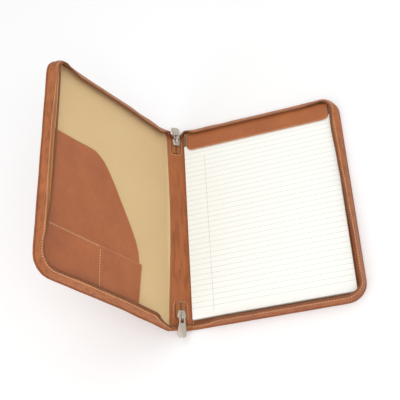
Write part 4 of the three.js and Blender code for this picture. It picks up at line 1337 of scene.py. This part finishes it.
class CASE_OT_pockets(bpy.types.Operator):
    """Make the two leather pockets on the left cover"""

    bl_idname = "document_case.pockets"
    bl_label = "Pockets"

    def execute(self, context):
        leather = tan_leather("smooth_calf", context.scene.case_colours.pocket, grain_share=0.8)
        limit = LOWER_POCKET_TOP * CASE_HEIGHT
        lower_top = [(-LOWER_POCKET_CORNER * COVER_WIDTH, limit)]
        for name, mouth, side_foot, base in (
            ("large", large_mouth(), LARGE_POCKET_SIDE, LARGE_POCKET_BASE),
            ("lower", lower_top, LOWER_POCKET_SIDE, LOWER_POCKET_BASE),
        ):
            outline, opening = pocket_outline(mouth, side_foot)
            columns = steps(-COVER_WIDTH, -LOWER_POCKET_CORNER * COVER_WIDTH, 5 * MM)
            rows = steps(POCKET_MARGIN, max(y for x, y in outline), 5 * MM)
            bm = cut_sheet(outline, columns, rows, BANDS + (4 * MM, 1 * MM))
            from_mouth = nearness(opening, closed=False)

            def place(x, y, inner, from_edge):
                height = wall_height(base, POCKET_WALL, inner, from_edge, radius=0.5 * MM)
                if inner:
                    # Under the lower pocket the large one lies flat
                    free = 1.0 if name == "lower" else smooth((y - limit) / (20 * MM))
                    hem = 1 - smooth((from_mouth(x, y) - 6.2 * MM) / (1.2 * MM))
                    wave = ripple(x, y, size=38 * MM, seed=4.1)
                    height += max((POCKET_HEM * hem + POCKET_WAVE * wave) * free, 0)
                return LEFT_COVER @ Vector((x, y, height))

            lay_sheet(bm, outline, place)
            add_piece(f"pocket_leather_{name}", bm, leather, [f"pocket_{name}"])
        return {"FINISHED"}


PAD_HEAD = CASE_HEIGHT - PAD_FROM_HEAD
PAD_OUTER = COVER_WIDTH - PAD_FROM_EDGE


class CASE_OT_pad(bpy.types.Operator):
    """Make the writing pad's sheets, board and head binding"""

    bl_idname = "document_case.pad"
    bl_label = "Writing pad"

    def execute(self, context):
        colours = context.scene.case_colours
        width, length = PAD_OUTER - PAD_FROM_FOLD, PAD_HEAD - PAD_FROM_FOOT
        middle = Vector((PAD_FROM_FOLD + width / 2, PAD_FROM_FOOT + length / 2, 0))
        # The sheets are nine thin blocks, a little out of line, with room left for their slip
        slabs, room, share = 9, 0.3 * MM, 0.94
        thickness = PAPER_THICKNESS / slabs
        size = Matrix.Diagonal((width - room, length - room, thickness * share, 1))
        bm = bmesh.new()
        for i in range(slabs):
            across = 0.12 * MM * ripple(i * 7 * MM, 0, size=5 * MM, seed=1.3)
            slip = Vector((across, -0.1 * MM * ((i * 5) % 3), PAPER_BASE + thickness * (i + 0.5)))
            place = RIGHT_COVER @ Matrix.Translation(middle + slip) @ size
            bmesh.ops.create_cube(bm, size=1, matrix=place)
        bmesh.ops.bevel(
            bm,
            geom=bm.edges[:],
            offset=0.08 * MM,
            segments=1,
            profile=0.5,
            affect="EDGES",
            material=-1,
        )
        add_piece("pad_sheets", bm, ruled_paper(), ["pad_paper"], sharp=math.radians(30))
        board = fibre_stock("grey_board", colours.board, linear("#7E6A50"), 0.9)
        binding = fibre_stock("binding_paper", colours.binding, linear("#6A5847"), 0.75)
        edge = 0.12 * MM
        rounded_copy("pad_backing", "pad_board_sheet", board, edge, "case")
        rounded_copy("pad_binding", "pad_head_tape", binding, edge, "case")
        return {"FINISHED"}


def strap_point(x, run, inner):
    """A point of the strap: run goes from its lower edge over the pad's head and down."""
    back = PAD_HEAD + 2 * FIT_GAP + BINDING_WALL + PAD_GAP
    foot = PAD_HEAD - STRAP_REACH
    over = back - STRAP_BEND - foot
    turn_run = STRAP_BEND * math.pi / 2
    if run < over:
        return foot + run, STRAP_BASE + inner
    turn = min((run - over) / STRAP_BEND, math.pi / 2)
    radius = STRAP_BEND + inner
    down = max(run - over - turn_run, 0)
    return (
        back - STRAP_BEND + radius * math.sin(turn),
        STRAP_BASE - STRAP_BEND + radius * math.cos(turn) - down,
    )


class CASE_OT_strap(bpy.types.Operator):
    """Make the leather strap over the pad's head"""

    bl_idname = "document_case.strap"
    bl_label = "Strap"

    def execute(self, context):
        inner_x, outer_x = STRAP_FROM_FOLD, PAD_OUTER - STRAP_SHORT_OF_PAD
        length = STRAP_REACH + PAD_GAP + (STRAP_BASE - BOARD_BASE)
        outline = (
            arc(inner_x + STRAP_RADIUS, STRAP_RADIUS, STRAP_RADIUS, 180, 270, count=8)
            + arc(outer_x - STRAP_RADIUS, STRAP_RADIUS, STRAP_RADIUS, 270, 360, count=8)
            + [(outer_x, length), (inner_x, length)]
        )
        over = STRAP_REACH + PAD_GAP - STRAP_BEND
        rows = steps(0, over, 3 * MM) + steps(over, over + 2.4 * MM, 0.4 * MM)
        bm = cut_sheet(outline, steps(inner_x, outer_x, 5 * MM), rows, BANDS + (2 * MM, 0.7 * MM))
        from_lower_edge = nearness(outline[:-2], closed=False)

        def place(x, y, inner, from_edge):
            height = wall_height(0, STRAP_WALL, inner, from_edge, radius=0.55 * MM)
            if inner:
                hem = 1 - smooth((from_lower_edge(x, y) - 3.6 * MM) / (0.9 * MM))
                wave = ripple(x, y, size=22 * MM, seed=7.7)
                before_bend = 1 - smooth((y - over + 6 * MM) / (5 * MM))
                height += (STRAP_HEM * hem + STRAP_WAVE * wave) * before_bend
            up, rise = strap_point(x, y, height)
            return RIGHT_COVER @ Vector((x, up, rise))

        # Painted shade on the folded end band at the strap's end near the fold
        def shade(x, y, from_edge):
            return 0.7 * (1 - smooth((x - inner_x - 3 * MM) / (0.8 * MM)))

        lay_sheet(bm, outline, place, shade=shade)
        add_piece("strap_leather", bm, cover_leather(), ["pad_strap"])
        return {"FINISHED"}


def rounded_copy(node, name, material, width, body, segments=2):
    """A copy of a hard node, merged and with its edges rounded."""
    bm = bmesh.new()
    bm.from_mesh(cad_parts[node].data)
    # Merged this far, because one edge of 0.1 mm would stop the rounding of all of them
    bmesh.ops.remove_doubles(bm, verts=bm.verts[:], dist=0.12 * MM)
    bmesh.ops.dissolve_limit(
        bm,
        angle_limit=math.radians(1),
        verts=bm.verts[:],
        edges=bm.edges[:],
        use_dissolve_boundaries=False,
    )
    hard = math.radians(28)
    edges = [edge for edge in bm.edges if edge.is_manifold and edge.calc_face_angle(0) > hard]
    bmesh.ops.bevel(
        bm,
        geom=edges,
        offset=width,
        segments=segments,
        profile=0.5,
        affect="EDGES",
        clamp_overlap=True,
        material=-1,
    )
    return add_piece(name, bm, material, [node], body, sharp=math.radians(40))


class CASE_OT_metal(bpy.types.Operator):
    """Make the zip's sliders and pulls"""

    bl_idname = "document_case.metal"
    bl_label = "Sliders and pulls"

    def execute(self, context):
        edge = context.scene.case_sizes.metal_edge
        metal = satin_nickel()
        for end in ("bottom", "top"):
            rounded_copy(f"slider_{end}", f"slider_body_{end}", metal, edge, "case")
            rounded_copy(
                f"pull_{end}", f"pull_tab_{end}", metal, edge, f"{end}_pull", segments=3
            )
        return {"FINISHED"}


def sew(bm, line):
    """Adds a row of flattened stitches along a line of (point, way out of the surface)."""
    sizes = bpy.context.scene.case_sizes
    radius = sizes.thread_radius
    size = Matrix.Diagonal((radius, radius * 0.8, sizes.stitch_length / 2, 1))
    stitch = bmesh.new()
    bmesh.ops.create_uvsphere(stitch, u_segments=6, v_segments=4, radius=1)
    shape = bpy.data.meshes.new("stitch")
    stitch.to_mesh(shape)
    stitch.free()
    for point, up, ahead in walk(line, sizes.stitch_pitch):
        across = up.cross(ahead).normalized()
        turn = Matrix((across, up, ahead)).transposed().to_4x4()
        placed = shape.copy()
        placed.transform(Matrix.Translation(point) @ turn @ size)
        bm.from_mesh(placed)
        bpy.data.meshes.remove(placed)
    bpy.data.meshes.remove(shape)


def rim_seam(side, depth, way):
    """A line along the gusset's edge, on the rim's outside (-1) or inside (1)."""
    line = []
    start = 3 * MM + GUSSET_START - TAPE_START
    for i in range(SEAM_SECTIONS + 1):
        section = RimSection(side, start + (RIM_LENGTH - 2 * start) * i / SEAM_SECTIONS)
        share = section.gusset_edge - GUSSET_SEAM / RIM_WIDTH
        point = section.point(share, depth)
        line.append((point, (section.point(share, depth + way * MM) - point).normalized()))
    return line


def skin_seam(points, height, way):
    """A line on the folded case through flat points, at a height, for stitches on its outside
    (-1) or its inside (1)."""
    line = []
    for a, b in zip(points, points[1:]):
        start, end = Vector(a), Vector(b)
        count = max(round((end - start).length / (3 * MM)), 1)
        line += [start.lerp(end, i / count) for i in range(count)]
    line.append(Vector(points[-1]))
    seam = []
    for flat in line:
        point = folded(flat.x, flat.y, height)
        seam.append((point, (folded(flat.x, flat.y, height + MM) - point).normalized() * way))
    return seam


def pocket_seam(points, height):
    """A line through points of the left cover's plane, at a height."""
    up = (LEFT_COVER.to_3x3() @ INSIDE).normalized()
    return [(LEFT_COVER @ Vector((x, y, height)), up) for x, y in points]


class CASE_OT_stitching(bpy.types.Operator):
    """Sew the gussets, pockets, covers and the spine's strip"""

    bl_idname = "document_case.stitching"
    bl_label = "Stitching"

    def execute(self, context):
        thread = cotton_thread()
        for side, name in ((-1, "left"), (1, "right")):
            bm = bmesh.new()
            sew(bm, rim_seam(side, 0.05 * MM, -1))
            sew(bm, rim_seam(side, GUSSET_WALL + FIT_GAP + TAPE_WALL, 1))
            edge = cover_outline(COVER_SEAM, SPINE_WIDTH / 2 - 4 * MM)
            if side < 0:
                edge = mirrored(edge)
            sew(bm, skin_seam(edge, 0.24 * MM, -1))
            add_piece(f"rim_stitches_{name}", bm, thread)
        bm = bmesh.new()
        for end in ("bottom", "top"):
            half, depth = NOTCH_HALF + NOTCH_SEAM, NOTCH_DEPTH + NOTCH_SEAM
            radius = NOTCH_RADIUS + NOTCH_SEAM
            turned = (
                [(half, NOTCH_MOUTH_DEPTH + NOTCH_SEAM)]
                + arc(half - radius, depth - radius, radius, 0, 90, count=6)
                + arc(-half + radius, depth - radius, radius, 90, 180, count=6)
                + [(-half, NOTCH_MOUTH_DEPTH + NOTCH_SEAM)]
            )
            if end == "top":
                turned = [(-x, CASE_HEIGHT - y) for x, y in turned]
            sew(bm, skin_seam(turned, LINING_BASE + SPINE_LINING_WALL + 0.02 * MM, 1))
        add_piece("spine_stitches", bm, thread)
        bm = bmesh.new()
        outer = -(COVER_WIDTH - POCKET_MARGIN)
        top = LOWER_POCKET_TOP * CASE_HEIGHT
        divider = -POCKET_DIVIDER * COVER_WIDTH
        # The mouth's seam lies on its hem, the other two on the flat leather
        flat_height = LOWER_POCKET_BASE + POCKET_WALL + 0.05 * MM
        hem_height = flat_height + 0.25 * MM
        hem = POCKET_SEAM
        sew(bm, pocket_seam([(outer + hem, top - hem), (divider, top - hem)], hem_height))
        ends = [(divider, top - 3 * hem), (divider, POCKET_MARGIN + 2 * hem)]
        sew(bm, pocket_seam(ends, flat_height))
        radius = CORNER_RADIUS - POCKET_MARGIN - hem
        middle = (outer + hem + radius, POCKET_MARGIN + hem + radius)
        edge = [(-LOWER_POCKET_SIDE * COVER_WIDTH - 2 * hem, POCKET_MARGIN + hem)]
        edge += arc(*middle, radius, 270, 180) + [(outer + hem, top - 2 * hem)]
        sew(bm, pocket_seam(edge, flat_height))
        add_piece("pocket_stitches", bm, thread)
        return {"FINISHED"}


class CASE_OT_stage(bpy.types.Operator):
    """Set the floor, the lights and the camera"""

    bl_idname = "document_case.stage"
    bl_label = "Stage"

    def execute(self, context):
        scene = context.scene
        bm = bmesh.new()
        bmesh.ops.create_grid(bm, x_segments=1, y_segments=1, size=FLOOR_HALF)
        bmesh.ops.translate(bm, verts=bm.verts[:], vec=(0, 0, -FLOOR_DROP))
        mesh = bpy.data.meshes.new("floor")
        bm.to_mesh(mesh)
        bm.free()
        mesh.materials.append(studio_paper())
        floor = bpy.data.objects.new("floor", mesh)
        scene.collection.objects.link(floor)

        for name, (place, width, watts) in LIGHTS.items():
            light = bpy.data.lights.new(name, "AREA")
            light.shape = "DISK"
            light.size = width
            light.energy = watts
            holder = bpy.data.objects.new(name, light)
            holder.location = place
            aim = Vector(LIGHTS_AIM) - Vector(place)
            holder.rotation_euler = aim.to_track_quat("-Z", "Y").to_euler()
            scene.collection.objects.link(holder)

        world = bpy.data.worlds.new("studio")
        world.use_nodes = True
        world.node_tree.nodes.clear()
        light = {"Color": (1.0, 1.0, 1.0, 1.0), "Strength": SKY_STRENGTH}
        sky = add_node(world.node_tree, "ShaderNodeBackground", light)
        add_node(world.node_tree, "ShaderNodeOutputWorld", {"Surface": sky.outputs["Background"]})
        scene.world = world
        scene.view_settings.view_transform = "Standard"

        camera = bpy.data.cameras.new("camera")
        camera.sensor_width = SENSOR
        camera.lens = CAMERA_LENS
        camera.clip_start = 0.02
        holder = bpy.data.objects.new("camera", camera)
        right, up = Vector(CAMERA_RIGHT), Vector(CAMERA_UP)
        turn = Matrix((right, up, right.cross(up))).transposed().to_4x4()
        holder.matrix_world = Matrix.Translation(CAMERA_PLACE) @ turn
        scene.collection.objects.link(holder)
        scene.camera = holder
        return {"FINISHED"}


OPERATORS = (
    CASE_OT_stage,
    CASE_OT_cover_leather,
    CASE_OT_spine_strip,
    CASE_OT_linings,
    CASE_OT_gussets,
    CASE_OT_zip,
    CASE_OT_pockets,
    CASE_OT_pad,
    CASE_OT_strap,
    CASE_OT_metal,
    CASE_OT_stitching,
)


class CASE_PT_panel(bpy.types.Panel):
    """Sizes, colours and steps of the document case"""

    bl_idname = "CASE_PT_panel"
    bl_label = "Document case"
    bl_space_type = "VIEW_3D"
    bl_region_type = "UI"
    bl_category = "Document case"

    def draw(self, context):
        for group in (context.scene.case_sizes, context.scene.case_colours):
            box = self.layout.box()
            for name in group.__annotations__:
                box.prop(group, name)
        for operator in OPERATORS:
            self.layout.operator(operator.bl_idname)


CLASSES = (CaseColours, CaseSizes, *OPERATORS, CASE_PT_panel)


def register():
    for cls in CLASSES:
        bpy.utils.register_class(cls)
    bpy.types.Scene.case_colours = PointerProperty(type=CaseColours)
    bpy.types.Scene.case_sizes = PointerProperty(type=CaseSizes)


def unregister():
    del bpy.types.Scene.case_sizes
    del bpy.types.Scene.case_colours
    for cls in reversed(CLASSES):
        bpy.utils.unregister_class(cls)


def main():
    register()
    for operator in OPERATORS:
        step = operator.bl_idname.split(".")[1]
        getattr(bpy.ops.document_case, step)()


if __name__ == "__main__":
    main()
